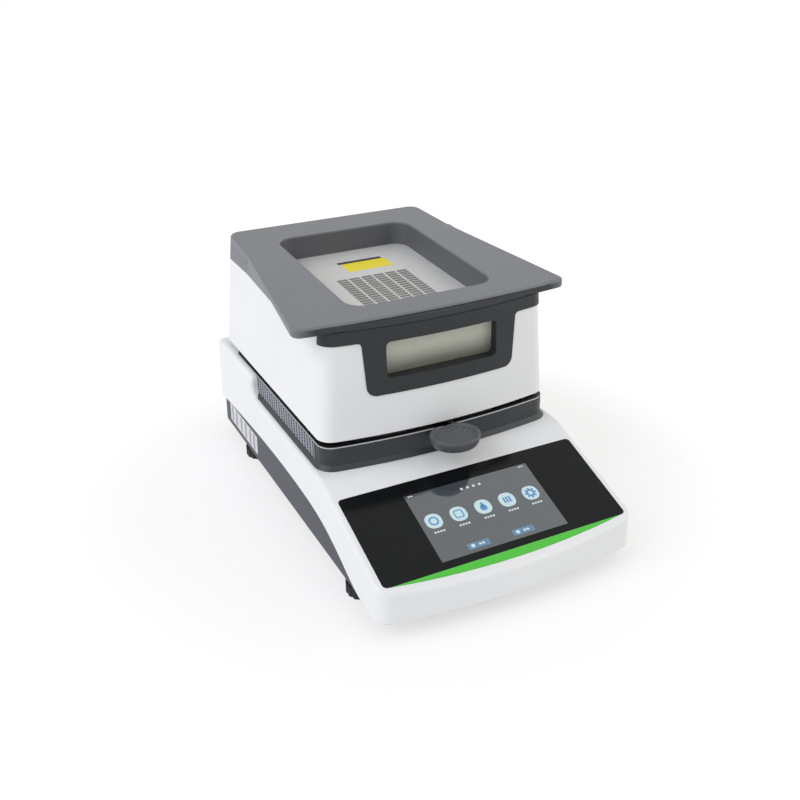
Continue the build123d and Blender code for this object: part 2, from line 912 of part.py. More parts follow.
cell_middle = chamber_centre + cell_length / 2 - cell_end
with BuildPart() as load_cell:
    with BuildSketch(Plane.YZ):
        with Locations((cell_middle, cell_bottom + cell_height / 2)):
            Rectangle(cell_length, cell_height)
            with GridLocations(cell_flexure_pitch, 0, 2, 1):
                Circle(cell_flexure_radius, mode=Mode.SUBTRACT)
            Rectangle(cell_flexure_pitch, cell_flexure_radius, mode=Mode.SUBTRACT)
    extrude(amount=cell_width / 2, both=True)
load_cell.part.label = "load_cell"
export_step(load_cell.part, "parts/load_cell.step")

post_top = support_top - support_thickness
with BuildPart() as weighing_post:
    with BuildSketch(Plane.XY.offset(cell_bottom + cell_height)):
        with Locations((0, chamber_centre)):
            Circle(cell_end)
    extrude(amount=post_flange_height)
    with BuildSketch(Plane.XY.offset(cell_bottom + cell_height)):
        with Locations((0, chamber_centre)):
            Circle(post_radius)
    extrude(amount=post_top - cell_bottom - cell_height)
weighing_post.part.label = "weighing_post"
export_step(weighing_post.part, "parts/weighing_post.step")

with BuildPart() as pan_support:
    with BuildSketch(Plane.XY.offset(post_top)):
        with Locations((0, chamber_centre)):
            Circle(post_radius + 3)
            with PolarLocations(0, 3, start_angle=90):
                with Locations((support_radius / 2, 0)):
                    SlotOverall(support_radius, support_arm_width)
    extrude(amount=support_thickness)
pan_support.part.label = "pan_support"
export_step(pan_support.part, "parts/pan_support.step")

# Pan handler: a flat ring round the pan, its neck out through the collar, and the moulded grip
neck_end = grip_rear - grip_insert
with BuildPart() as pan_handler:
    with BuildSketch(Plane.XY.offset(handler_bottom)):
        with Locations((0, (chamber_centre + neck_end) / 2)):
            Rectangle(handler_neck, chamber_centre - neck_end)
        with Locations((0, chamber_centre)):
            Circle(handler_outer)
            Circle(handler_inner, mode=Mode.SUBTRACT)
    extrude(amount=handler_thickness)
pan_handler.part.label = "pan_handler"
export_step(pan_handler.part, "parts/pan_handler.step")

grip_taper = 2.0
with BuildPart() as handler_grip:
    with BuildSketch(Plane.XY.offset(grip_top)):
        with Locations((0, grip_centre)):
            Ellipse(grip_half_width, grip_half_depth)
    with BuildSketch(Plane.XY.offset(handler_bottom)):
        with Locations((0, grip_centre)):
            Ellipse(grip_half_width - grip_taper, grip_half_depth - grip_taper)
    loft()
    fillet(handler_grip.edges().group_by(Axis.Z)[-1], grip_edge_radius)
    with BuildSketch(Plane.XY.offset(grip_top)) as grooves:
        with Locations((0, grip_centre + grip_half_depth)):
            for number in range(grip_groove_count):
                Circle(grip_groove_start + number * grip_groove_pitch + grip_groove_width)
                Circle(grip_groove_start + number * grip_groove_pitch, mode=Mode.SUBTRACT)
        with Locations((0, grip_centre)):
            Ellipse(grip_half_width - 3.5, grip_half_depth - 3.5, mode=Mode.INTERSECT)
    extrude(amount=-grip_groove_depth, mode=Mode.SUBTRACT)
    with BuildSketch(Plane.XY.offset(handler_bottom)):
        with Locations((0, (grip_rear + neck_end) / 2)):
            Rectangle(handler_neck + 2 * stud_clearance, grip_insert + 2 * stud_clearance)
    extrude(amount=handler_thickness, mode=Mode.SUBTRACT)
    with BuildSketch(Plane.XY):
        with Locations((0, grip_rear + grip_half_depth)):
            Rectangle(wide, 2 * grip_half_depth)
    extrude(amount=tall, mode=Mode.SUBTRACT)
handler_grip.part.label = "handler_grip"
export_step(handler_grip.part, "parts/handler_grip.step")

# Pressed aluminium sample pan
with BuildPart() as sample_pan:
    with BuildSketch(Plane.XZ) as pan_profile:
        with BuildLine():
            Polyline(
                (0, pan_bottom),
                (pan_base_radius, pan_bottom),
                (pan_mouth_radius, pan_bottom + pan_depth - pan_wall),
                (pan_rim_radius, pan_bottom + pan_depth - pan_wall),
                (pan_rim_radius, pan_bottom + pan_depth),
                (pan_mouth_radius - pan_wall, pan_bottom + pan_depth),
                (pan_base_radius - pan_wall, pan_bottom + pan_wall),
                (0, pan_bottom + pan_wall),
                close=True,
            )
        make_face()
    revolve(axis=Axis.Z)
sample_pan.part.position = (0, chamber_centre, 0)
sample_pan.part.label = "sample_pan"
export_step(sample_pan.part, "parts/sample_pan.step")

# Circular level in the corner of the chamber floor
with BuildPart() as spirit_level:
    with BuildSketch(Plane.XY.offset(floor_top)):
        with Locations((level_x, level_y)):
            Circle(level_radius)
    extrude(amount=level_height)
    with BuildSketch(Plane.XY.offset(floor_top + level_height)):
        with Locations((level_x, level_y)):
            Circle(level_radius - 2)
    extrude(amount=-0.6, mode=Mode.SUBTRACT)
spirit_level.part.label = "spirit_level"
export_step(spirit_level.part, "parts/spirit_level.step")

# Rubber bumpers that the closed lid rests on
with BuildPart() as lid_bumpers:
    with BuildSketch(Plane.XY.offset(ring_top)):
        with Locations(*bumper_places):
            Circle(bumper_radius)
    extrude(amount=hood_foot - rest_gap - ring_top)
lid_bumpers.part.label = "lid_bumpers"
export_step(lid_bumpers.part, "parts/lid_bumpers.step")

# Rear panel: power inlet with its three pins, rocker switch and data port
inlet_hole = (inlet_width - 2 * inlet_bezel, inlet_height - 2 * inlet_bezel)
with BuildPart() as power_inlet:
    with BuildSketch(Plane.XZ.offset(-panel_outer)):
        with Locations((inlet_x, panel_centre)):
            RectangleRounded(inlet_width, inlet_height, inlet_bezel)
    extrude(amount=-inlet_bezel)
    with BuildSketch(Plane.XZ.offset(-panel_outer)):
        with Locations((inlet_x, panel_centre)):
            Rectangle(inlet_hole[0] - 2 * fit_gap, inlet_hole[1] - 2 * fit_gap)
    extrude(amount=inlet_depth)
    with BuildSketch(Plane.XZ.offset(-panel_outer - inlet_bezel)) as socket:
        with Locations((inlet_x, panel_centre)):
            Rectangle(socket_width, socket_height)
        chamfer(socket.vertices().group_by(Axis.Y)[-1], socket_chamfer)
    extrude(amount=socket_depth, mode=Mode.SUBTRACT)
    with BuildSketch(Plane.XZ.offset(-panel_outer - inlet_bezel + socket_depth)):
        with Locations(*[(inlet_x + side * pin_spacing, panel_centre - pin_rise) for side in sides]):
            Rectangle(pin_thickness, pin_width)
        with Locations((inlet_x, panel_centre + pin_rise)):
            Rectangle(pin_thickness, pin_width)
    extrude(amount=-pin_length)
power_inlet.part.label = "power_inlet"
export_step(power_inlet.part, "parts/power_inlet.step")

pivot_y = panel_outer - switch_pivot_depth
with BuildPart() as switch_frame:
    with BuildSketch(Plane.XZ.offset(-panel_outer)):
        with Locations((switch_x, panel_centre)):
            RectangleRounded(switch_width + 2 * switch_bezel, switch_height + 2 * switch_bezel, switch_bezel)
    extrude(amount=-switch_bezel)
    with BuildSketch(Plane.XZ.offset(-panel_outer)):
        with Locations((switch_x, panel_centre)):
            Rectangle(switch_width, switch_height)
    extrude(amount=switch_depth)
    with BuildSketch(Plane.XZ.offset(-panel_outer - switch_bezel)):
        with Locations((switch_x, panel_centre)):
            Rectangle(switch_width - 2 * switch_bezel, switch_height - 2 * switch_bezel)
    extrude(amount=switch_bezel + rocker_well, mode=Mode.SUBTRACT)
    with BuildSketch(Plane.YZ.offset(switch_x)):
        with Locations((pivot_y, panel_centre)):
            Circle(trunnion_radius + hinge_clearance)
    extrude(amount=switch_width / 2 - switch_bezel + trunnion_length, both=True, mode=Mode.SUBTRACT)
switch_frame.part.label = "switch_frame"
export_step(switch_frame.part, "parts/switch_frame.step")

rocker_half_height = switch_height / 2 - switch_bezel - 2 * rocker_gap
rocker_half_width = switch_width / 2 - switch_bezel - rocker_gap
with BuildPart() as switch_rocker:
    with BuildSketch(Plane.YZ.offset(switch_x)) as rocker_side:
        with Locations(Location((pivot_y, panel_centre), -switch_tilt)):
            Rectangle(rocker_thickness, 2 * rocker_half_height)
            Circle(trunnion_radius + 1)
    extrude(amount=rocker_half_width, both=True)
    with BuildSketch(Plane.YZ.offset(switch_x)):
        with Locations((pivot_y, panel_centre)):
            Circle(trunnion_radius)
    extrude(amount=switch_width / 2 - switch_bezel + trunnion_length - hinge_clearance, both=True)
switch_rocker.part.label = "switch_rocker"
export_step(switch_rocker.part, "parts/switch_rocker.step")

with BuildPart() as data_port:
    with BuildSketch(Plane.XZ.offset(-panel_outer)):
        with Locations((port_x, panel_centre)):
            RectangleRounded(port_flange_width, port_flange_height, 1.5)
    extrude(amount=-port_flange_thickness)
    with BuildSketch(Plane.XZ.offset(-panel_outer)):
        with Locations((port_x, panel_centre)):
            Rectangle(port_width, port_height)
    extrude(amount=port_body_depth)
    with BuildSketch(Plane.XZ.offset(-panel_outer - port_flange_thickness)):
        with Locations((port_x, panel_centre)):
            Trapezoid(port_shell_width, port_shell_height, 100, rotation=180)
            offset(amount=-port_shell_wall, mode=Mode.SUBTRACT)
        with Locations(*[(port_x + side * port_screw_spacing, panel_centre) for side in sides]):
            RegularPolygon(port_screw_radius, 6)
    extrude(amount=-port_proud)
data_port.part.label = "data_port"
export_step(data_port.part, "parts/data_port.step")

# Power supply board on its standoffs
with BuildPart() as power_board:
    with BuildSketch(Plane.XY.offset(board_height)):
        with Locations((power_board_x, power_board_y)):
            Rectangle(power_board_width, power_board_length)
    extrude(amount=board_thickness)
    with BuildSketch(Plane.XY.offset(tub_floor_top)):
        with Locations((power_board_x, power_board_y)):
            with GridLocations(power_board_width - 8, power_board_length - 8, 2, 2):
                Circle(standoff_radius)
    extrude(amount=board_height - tub_floor_top)
    with BuildSketch(Plane.XY.offset(board_height + board_thickness)):
        with Locations((power_board_x, power_board_y - 22)):
            Rectangle(36, 32)
    extrude(amount=26)
    with BuildSketch(Plane.XY.offset(board_height + board_thickness)):
        with Locations((power_board_x - 14, power_board_y + 16), (power_board_x + 10, power_board_y + 16)):
            Circle(9)
    extrude(amount=20)
    with BuildSketch(Plane.XY.offset(board_height + board_thickness)):
        with Locations((power_board_x, power_board_y + 35)):
            Rectangle(40, 8)
    extrude(amount=11)
power_board.part.label = "power_board"
export_step(power_board.part, "parts/power_board.step")

# Lid hinge: brackets in the housing's pockets, pins, and arms inside the rear wall of the hood
arm_wall = hood_rear - hood_wall - arm_gap
arm_top_y = arm_wall - hood_rear_lean * (hinge_z + arm_height - hood_foot)
for side, name in zip(sides, ("left", "right")):
    ear_inner = knuckle_width / 2 + knuckle_gap
    with BuildPart() as hinge_bracket:
        with BuildSketch(Plane.XY.offset(hinge_pocket_floor)):
            with Locations((side * hinge_spacing, hinge_y)):
                Rectangle(2 * (ear_inner + ear_thickness), 2 * knuckle_radius)
        extrude(amount=bracket_plate)
        with BuildSketch(Plane.YZ.offset(side * hinge_spacing)):
            with BuildLine():
                Polyline(
                    (hinge_y - knuckle_radius, hinge_z),
                    (hinge_y - knuckle_radius, hinge_pocket_floor),
                    (hinge_y + knuckle_radius, hinge_pocket_floor),
                    (hinge_y + knuckle_radius, hinge_z),
                )
                ThreePointArc(
                    (hinge_y + knuckle_radius, hinge_z),
                    (hinge_y, hinge_z + knuckle_radius),
                    (hinge_y - knuckle_radius, hinge_z),
                )
            make_face()
        extrude(amount=ear_inner + ear_thickness, both=True)
        with BuildSketch(Plane.YZ.offset(side * hinge_spacing)):
            with Locations((hinge_y, hinge_z + tall / 2 - knuckle_radius - hinge_foot_gap)):
                Rectangle(4 * knuckle_radius, tall)
        extrude(amount=ear_inner, both=True, mode=Mode.SUBTRACT)
        with BuildSketch(Plane.YZ.offset(side * hinge_spacing)):
            with Locations((hinge_y, hinge_z)):
                Circle(hinge_pin_radius)
        extrude(amount=wide / 8, both=True, mode=Mode.SUBTRACT)
    hinge_bracket.part.label = "hinge_bracket_" + name
    export_step(hinge_bracket.part, "parts/hinge_bracket_" + name + ".step")

    with BuildPart() as hinge_pin:
        with BuildSketch(Plane.YZ.offset(side * hinge_spacing)):
            with Locations((hinge_y, hinge_z)):
                Circle(hinge_pin_radius)
        extrude(amount=ear_inner + ear_thickness, both=True)
    hinge_pin.part.label = "hinge_pin_" + name
    export_step(hinge_pin.part, "parts/hinge_pin_" + name + ".step")

    with BuildPart() as hinge_arm:
        with BuildSketch(Plane.YZ.offset(side * hinge_spacing)):
            with BuildLine():
                Polyline(
                    (hinge_y, hinge_z - arm_web / 2),
                    (hinge_y, hinge_z + arm_web / 2),
                    (arm_wall - hood_rear_lean * (hinge_z + arm_web / 2 - hood_foot), hinge_z + arm_web / 2),
                    (arm_top_y, hinge_z + arm_height),
                    (arm_top_y - arm_thickness, hinge_z + arm_height),
                    (arm_wall - hood_rear_lean * (hinge_z - hood_foot) - arm_thickness, hinge_z),
                    (hinge_y - 3 * arm_thickness, hinge_z - arm_web / 2),
                    close=True,
                )
            make_face()
            with Locations((hinge_y, hinge_z)):
                Circle(knuckle_radius)
                Circle(hinge_pin_radius + hinge_clearance, mode=Mode.SUBTRACT)
        extrude(amount=knuckle_width / 2, both=True)
    hinge_arm.part.label = "hinge_arm_" + name
    export_step(hinge_arm.part, "parts/hinge_arm_" + name + ".step")

# Hood of the lid
top_over = 12.0
hood_top = top_height(hood_rear, -top_over)
hood_outer = block_between(hood_plan, hood_foot, hood_top, 0)
hood_inner = block_between(hood_plan, hood_foot - 1, hood_top, hood_wall)
frame_back = block_between(hood_plan, hood_foot, hood_top, frame_rebate)
frame_face = block_between(hood_plan, hood_foot, hood_top, -frame_proud)
boss_places = [(side * lid_boss_x, y) for side in sides for y in (lid_boss_front, lid_boss_rear)]
with BuildPart() as hood_shell:
    add(hood_outer)
    add(hood_inner, mode=Mode.SUBTRACT)
    add(side_prism(joint_region(tall)), mode=Mode.SUBTRACT)
    add(front_prism(frame_outline(fit_gap), band_end + fit_gap, -wide) - frame_back, mode=Mode.SUBTRACT)
    add(front_prism(window_outline(window_tube_wall + fit_gap), band_end, -wide), mode=Mode.SUBTRACT)
    with BuildSketch(Plane.XY.offset(liner_bottom + liner_wall)):
        with Locations(*boss_places):
            Circle(post_outer_radius)
            Circle(screw_radius + fit_gap, mode=Mode.SUBTRACT)
    extrude(amount=lid_boss_length)
    with BuildSketch(Plane.XY):
        with Locations(*[(side * hinge_spacing, hinge_y) for side in sides]):
            Rectangle(2 * (pocket_half_width + fit_gap), 2 * (hinge_y - hinge_notch_front))
    extrude(amount=hinge_notch_top, mode=Mode.SUBTRACT)
hood_shell.part.label = "hood_shell"
export_step(hood_shell.part, "parts/hood_shell.step")

# Top cover: flat plate with the vented tray, flared wings and the skirt over the hood's upper edge
kink_y = top_rear[0] - kink_distance * cos(radians(top_angle))
wing_run = (wing_half_width - kink_half_width) / ((wing_distance - kink_distance) * cos(radians(top_angle)))
facet_corners = (
    (-kink_half_width, kink_y, top_height(kink_y)),
    (-hood_half_width + hood_side_draft * (skirt_bottom - hood_foot), skirt_front, skirt_bottom),
    (
        -kink_half_width - wing_run * (kink_y - flare_front),
        flare_front,
        top_height(flare_front, top_thickness),
    ),
)
flare_inner = facet_prism(facet_corners, Keep.BOTTOM)
flare_inner_right = flare_inner.mirror(Plane.YZ)
flare_outer = facet_prism(facet_corners, Keep.TOP)
flare_outer_right = flare_outer.mirror(Plane.YZ)
with BuildPart() as lid_top_cover:
    with BuildSketch(top_plane) as cover_outline:
        with BuildLine():
            Polyline(
                (-wing_half_width, -wing_distance),
                (-kink_half_width, -kink_distance),
                (-top_rear_half_width, 0),
                (top_rear_half_width, 0),
                (kink_half_width, -kink_distance),
                (wing_half_width, -wing_distance),
            )
            ThreePointArc(
                (wing_half_width, -wing_distance),
                (0, -wing_distance - top_bow),
                (-wing_half_width, -wing_distance),
            )
        make_face()
        fillet(cover_outline.vertices().group_by(Axis.Y)[0], wing_radius)
        fillet(cover_outline.vertices().group_by(Axis.Y)[-1], top_rear_radius)
    extrude(amount=-top_thickness)
    along = Axis(top_plane.origin, top_plane.z_dir)
    fillet(lid_top_cover.faces().sort_by(along)[0].edges(), plate_lower_radius)
    fillet(lid_top_cover.faces().sort_by(along)[-1].edges(), plate_edge_radius)
    add(hood_outer & side_prism(joint_region(-plate_edge_radius)))
    add(flare_inner)
    add(flare_inner_right)
    add(hood_inner & side_prism(under_plate()), mode=Mode.SUBTRACT)
    add(flare_outer, mode=Mode.SUBTRACT)
    add(flare_outer_right, mode=Mode.SUBTRACT)
    add(tray_block(-tray_collar_wall, -top_thickness / 2))
    add(tray_block(0, 1), mode=Mode.SUBTRACT)
lid_top_cover.part.label = "lid_top_cover"
export_step(lid_top_cover.part, "parts/lid_top_cover.step")

vent_centre = (chamber_centre - top_rear[0]) / cos(radians(top_angle))
with BuildPart() as tray_plate:
    with BuildSketch(top_plane.offset(-tray_depth)):
        add(tray_outline(tray_depth * tan(radians(tray_taper)) - tray_plate_margin))
        with Locations((0, vent_centre)):
            with GridLocations(vent_column_pitch, vent_row_pitch, vent_columns, vent_rows):
                Rectangle(vent_length, vent_width, mode=Mode.SUBTRACT)
    extrude(amount=-tray_plate_thickness)
tray_plate.part.label = "tray_plate"
export_step(tray_plate.part, "parts/tray_plate.step")

# Front frame: T-shaped shell let into the hood's face, with the tube that holds the window
with BuildPart() as front_frame:
    add(front_prism(frame_outline(0), band_end, -wide) & (frame_face - frame_back))
    add(front_prism(window_outline(window_tube_wall), window_tube_rear, -wide) & frame_face)
    add(side_prism(joint_region(tall)), mode=Mode.SUBTRACT)
    add(front_prism(window_outline(0), window_tube_rear + 1, -wide), mode=Mode.SUBTRACT)
    add(
        front_prism(window_outline(window_glass_lap), window_tube_rear, glass_front),
        mode=Mode.SUBTRACT,
    )
front_frame.part.label = "front_frame"
export_step(front_frame.part, "parts/front_frame.step")

with BuildPart() as window_glass:
    add(front_prism(window_outline(window_glass_lap - glass_play), window_tube_rear, glass_front))
window_glass.part.label = "window_glass"
export_step(window_glass.part, "parts/window_glass.step")

# Heat liner: folded steel box round the heater, flanged out to the hood
liner_middle = (liner_front + liner_rear) / 2
liner_length = liner_rear - liner_front
with BuildPart() as heat_liner:
    with BuildSketch(Plane.XY.offset(liner_bottom)):
        add(hood_plan(liner_bottom, hood_wall + fit_gap))
        with Locations((0, liner_middle)):
            Rectangle(2 * liner_half_width, liner_length, mode=Mode.SUBTRACT)
        with Locations(*boss_places):
            Circle(screw_radius + fit_gap, mode=Mode.SUBTRACT)
        with Locations(*[(side * hinge_spacing, hinge_y) for side in sides]):
            Rectangle(knuckle_width + 4 * fit_gap, 2 * (hinge_y - hinge_notch_front), mode=Mode.SUBTRACT)
    extrude(amount=liner_wall)
    with BuildSketch(Plane.XY.offset(liner_bottom)):
        with Locations((0, liner_middle)):
            Rectangle(2 * liner_half_width, liner_length)
            Rectangle(2 * (liner_half_width - liner_wall), liner_length - 2 * liner_wall, mode=Mode.SUBTRACT)
    extrude(amount=liner_top - liner_bottom)
    with BuildSketch(Plane.XY.offset(liner_ceiling)):
        with Locations((0, liner_middle)):
            Rectangle(2 * liner_half_width, liner_length)
        with Locations((0, liner_middle)):
            with GridLocations(liner_slot_spacing, liner_slot_pitch, 2, liner_slot_count):
                Rectangle(liner_slot_width, liner_slot_length, mode=Mode.SUBTRACT)
    extrude(amount=liner_wall)
    add(
        front_prism(window_outline(window_tube_wall), liner_front + 2 * liner_wall, liner_front - liner_wall),
        mode=Mode.SUBTRACT,
    )
heat_liner.part.label = "heat_liner"
export_step(heat_liner.part, "parts/heat_liner.step")

# Heater: dished reflector, ring-shaped halogen lamp in its ceramic holder, and the glass below it
rim_outer = reflector_radius + reflector_wall
crown_inner = liner_ceiling - reflector_wall
bulge = 0.69
with BuildPart() as reflector:
    with BuildSketch(Plane.XZ):
        with BuildLine():
            Polyline((0, crown_inner), (reflector_crown, crown_inner))
            ThreePointArc(
                (reflector_crown, crown_inner),
                (
                    reflector_crown + bulge * (reflector_radius - reflector_crown),
                    reflector_bottom + bulge * (crown_inner - reflector_bottom),
                ),
                (reflector_radius, reflector_bottom),
            )
            Polyline(
                (reflector_radius, reflector_bottom),
                (reflector_flange, reflector_bottom),
                (reflector_flange, reflector_bottom + reflector_wall),
                (rim_outer, reflector_bottom + reflector_wall),
            )
            ThreePointArc(
                (rim_outer, reflector_bottom + reflector_wall),
                (
                    reflector_crown + bulge * (rim_outer - reflector_crown),
                    reflector_bottom + reflector_wall + bulge * (crown_inner - reflector_bottom),
                ),
                (reflector_crown, liner_ceiling),
            )
            Polyline((reflector_crown, liner_ceiling), (0, liner_ceiling), (0, crown_inner))
        make_face()
    revolve(axis=Axis.Z)
    with BuildSketch(Plane.XZ.offset(-lamp_radius - 2 * lamp_tube_radius)):
        with Locations((0, lamp_height)):
            Rectangle(lamp_lead_spacing + 4 * lamp_tube_radius, 2.6 * lamp_tube_radius)
    extrude(amount=-reflector_radius, mode=Mode.SUBTRACT)
reflector.part.position = (0, chamber_centre, 0)
reflector.part.label = "reflector"
export_step(reflector.part, "parts/reflector.step")

with BuildPart() as halogen_lamp:
    with BuildSketch(Plane.XZ):
        with Locations((lamp_radius, lamp_height)):
            Circle(lamp_tube_radius)
    revolve(axis=Axis.Z)
    with BuildSketch(Plane.XZ.offset(-lamp_radius)):
        with Locations((-lamp_lead_spacing, lamp_height), (lamp_lead_spacing, lamp_height)):
            Circle(lamp_lead_radius)
    extrude(amount=chamber_centre - holder_front + lamp_radius)
halogen_lamp.part.position = (0, chamber_centre, 0)
halogen_lamp.part.label = "halogen_lamp"
export_step(halogen_lamp.part, "parts/halogen_lamp.step")

liner_back = liner_rear - liner_wall
with BuildPart() as lamp_holder:
    with BuildSketch(Plane.XZ.offset(-holder_front)):
        with Locations((0, lamp_height)):
            RectangleRounded(holder_width, holder_height, 2)
    extrude(amount=holder_front - liner_back)
lamp_holder.part.label = "lamp_holder"
export_step(lamp_holder.part, "parts/lamp_holder.step")

glass_top = reflector_bottom - lip_gap
glass_bottom = glass_top - heater_glass_thickness
with BuildPart() as heater_glass:
    with BuildSketch(Plane.XY.offset(glass_bottom)):
        with Locations((0, chamber_centre)):
            Circle(heater_glass_radius)
    extrude(amount=heater_glass_thickness)
heater_glass.part.label = "heater_glass"
export_step(heater_glass.part, "parts/heater_glass.step")

with BuildPart() as glass_ring:
    with BuildSketch(Plane.XY.offset(glass_bottom - clamp_lip)):
        with Locations((0, chamber_centre)):
            Circle(reflector_flange)
            Circle(clamp_inner, mode=Mode.SUBTRACT)
    extrude(amount=reflector_bottom - glass_bottom + clamp_lip)
    with BuildSketch(Plane.XY.offset(glass_bottom)):
        with Locations((0, chamber_centre)):
            Circle(heater_glass_radius + glass_play)
    extrude(amount=tall, mode=Mode.SUBTRACT)
glass_ring.part.label = "glass_ring"
export_step(glass_ring.part, "parts/glass_ring.step")

with BuildPart() as temperature_sensor:
    with BuildSketch(Plane.XZ.offset(-liner_back)):
        with Locations((sensor_x, sensor_height)):
            Circle(2 * sensor_radius)
    extrude(amount=2 * sensor_radius)
    with BuildSketch(Plane.XZ.offset(-liner_back)):
        with Locations((sensor_x, sensor_height)):
            Circle(sensor_radius)
    extrude(amount=liner_back - sensor_tip)
temperature_sensor.part.label = "temperature_sensor"
export_step(temperature_sensor.part, "parts/temperature_sensor.step")

with BuildPart() as lid_screws:
    with BuildSketch(Plane.XY.offset(liner_bottom)):
        with Locations(*boss_places):
            Circle(screw_head_radius)
    extrude(amount=-screw_head_height)
    with BuildSketch(Plane.XY.offset(liner_bottom)):
        with Locations(*boss_places):
            Circle(screw_radius)
    extrude(amount=screw_length)
lid_screws.part.label = "lid_screws"
export_step(lid_screws.part, "parts/lid_screws.step")
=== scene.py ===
"""Halogen moisture analyzer: finishes for every piece, details that the solids leave out, and the stage."""

import bmesh
import bpy
import numpy as np
from mathutils import Matrix, Vector


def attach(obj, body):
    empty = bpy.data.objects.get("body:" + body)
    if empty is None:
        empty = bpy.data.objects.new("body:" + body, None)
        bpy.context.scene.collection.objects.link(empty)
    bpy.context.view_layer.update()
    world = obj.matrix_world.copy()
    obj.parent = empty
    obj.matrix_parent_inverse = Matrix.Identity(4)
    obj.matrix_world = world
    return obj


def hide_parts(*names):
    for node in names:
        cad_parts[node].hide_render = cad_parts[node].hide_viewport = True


bl_info = {
    "name": "Halogen Moisture Analyzer",
    "version": (1, 0, 0),
    "blender": (4, 5, 0),
    "location": "View3D > Sidebar > Analyzer",
    "description": "Dresses a halogen moisture analyzer with its finishes, display, labels and small parts",
    "category": "Object",
}

MM = 0.001
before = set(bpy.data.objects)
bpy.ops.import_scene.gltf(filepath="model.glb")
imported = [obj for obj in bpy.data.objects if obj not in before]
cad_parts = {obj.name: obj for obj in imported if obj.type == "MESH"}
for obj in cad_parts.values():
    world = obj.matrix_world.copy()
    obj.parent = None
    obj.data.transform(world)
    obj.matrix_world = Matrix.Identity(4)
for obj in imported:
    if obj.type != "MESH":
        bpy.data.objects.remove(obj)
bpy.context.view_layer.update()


# Colours and node trees

def linear(hex_code, alpha=1.0):
    """sRGB hex value to linear: v / 12.92 below 0.04045, else ((v + 0.055) / 1.055) to the power 2.4."""
    code = hex_code.lstrip("#")
    value = np.array([int(code[i:i + 2], 16) for i in (0, 2, 4)]) / 255
    value = np.where(value <= 0.04045, value / 12.92, ((value + 0.055) / 1.055) ** 2.4)
    return (*value.tolist(), alpha)


def add_node(tree, kind, values=(), links=(), **settings):
    """Adds a node, sets its attributes, its input values and its incoming links, and returns it."""
    node = tree.nodes.new(kind)
    for name, value in settings.items():
        setattr(node, name, value)
    for key, value in dict(values).items():
        node.inputs[key].default_value = value
    for key, source in dict(links).items():
        tree.links.new(source, node.inputs[key])
    return node


def new_material(name):
    """An empty material with its output node; returns the material, its tree and the output."""
    material = bpy.data.materials.new(name)
    material.use_nodes = True
    tree = material.node_tree
    tree.nodes.clear()
    return material, tree, tree.nodes.new("ShaderNodeOutputMaterial")


def grain(tree, size_mm, detail=2.0, stretch=(1, 1, 1)):
    """Noise whose features are about size_mm across, stretched along the axes; returns its value socket."""
    coordinates = add_node(tree, "ShaderNodeTexCoord")
    mapping = add_node(
        tree,
        "ShaderNodeMapping",
        values={"Scale": tuple(1 / s for s in stretch)},
        links={"Vector": coordinates.outputs["Object"]},
    )
    noise = add_node(
        tree,
        "ShaderNodeTexNoise",
        values={"Scale": 1 / (size_mm * MM), "Detail": detail, "Roughness": 0.55},
        links={"Vector": mapping.outputs["Vector"]},
    )
    return noise.outputs["Fac"]


def between(tree, socket, low, high):
    """Maps a 0 to 1 value to a range, which is clamped."""
    mapped = add_node(
        tree, "ShaderNodeMapRange", values={"To Min": low, "To Max": high}, links={"Value": socket}
    )
    return mapped.outputs["Result"]


def tinted(tree, socket, dark, light):
    """Colour that runs from dark to light with a value."""
    mix = add_node(
        tree,
        "ShaderNodeMix",
        data_type="RGBA",
        values={6: linear(dark), 7: linear(light)},
        links={0: socket},
    )
    return mix.outputs[2]


def finish_surface(parts, shader):
    """Links a shader to its material's output and returns the material."""
    material, tree, output = parts
    tree.links.new(shader.outputs["BSDF"], output.inputs["Surface"])
    return material


def moulded(name, dark, light, roughness, texture_mm, depth_mm, strength, coat=0.0, specular=0.5, ior=1.5):
    """Moulded or painted surface: grain of texture_mm, slow colour drift, and mild gloss changes."""
    parts = new_material(name)
    tree = parts[1]
    fine = grain(tree, texture_mm)
    drift = grain(tree, 60.0, detail=3.0)
    bump = add_node(
        tree,
        "ShaderNodeBump",
        values={"Strength": strength, "Distance": depth_mm * MM},
        links={"Height": fine},
    )
    shader = add_node(
        tree,
        "ShaderNodeBsdfPrincipled",
        values={"Coat Weight": coat, "Coat Roughness": 0.12, "Specular IOR Level": specular, "IOR": ior},
        links={
            "Base Color": tinted(tree, drift, dark, light),
            "Roughness": between(tree, fine, roughness * 0.88, roughness * 1.12),
            "Normal": bump.outputs["Normal"],
        },
    )
    return finish_surface(parts, shader)


def metal(name, dark, light, roughness, line_mm, stretch, strength):
    """Worked metal: fine lines line_mm apart, drawn out by stretch, in colour, gloss and bump."""
    parts = new_material(name)
    tree = parts[1]
    lines = grain(tree, line_mm, detail=4.0, stretch=stretch)
    bump = add_node(
        tree,
        "ShaderNodeBump",
        values={"Strength": strength, "Distance": 0.02 * MM},
        links={"Height": lines},
    )
    shader = add_node(
        tree,
        "ShaderNodeBsdfPrincipled",
        values={"Metallic": 1.0},
        links={
            "Base Color": tinted(tree, lines, dark, light),
            "Roughness": between(tree, lines, roughness * 0.75, roughness * 1.25),
            "Normal": bump.outputs["Normal"],
        },
    )
    return finish_surface(parts, shader)


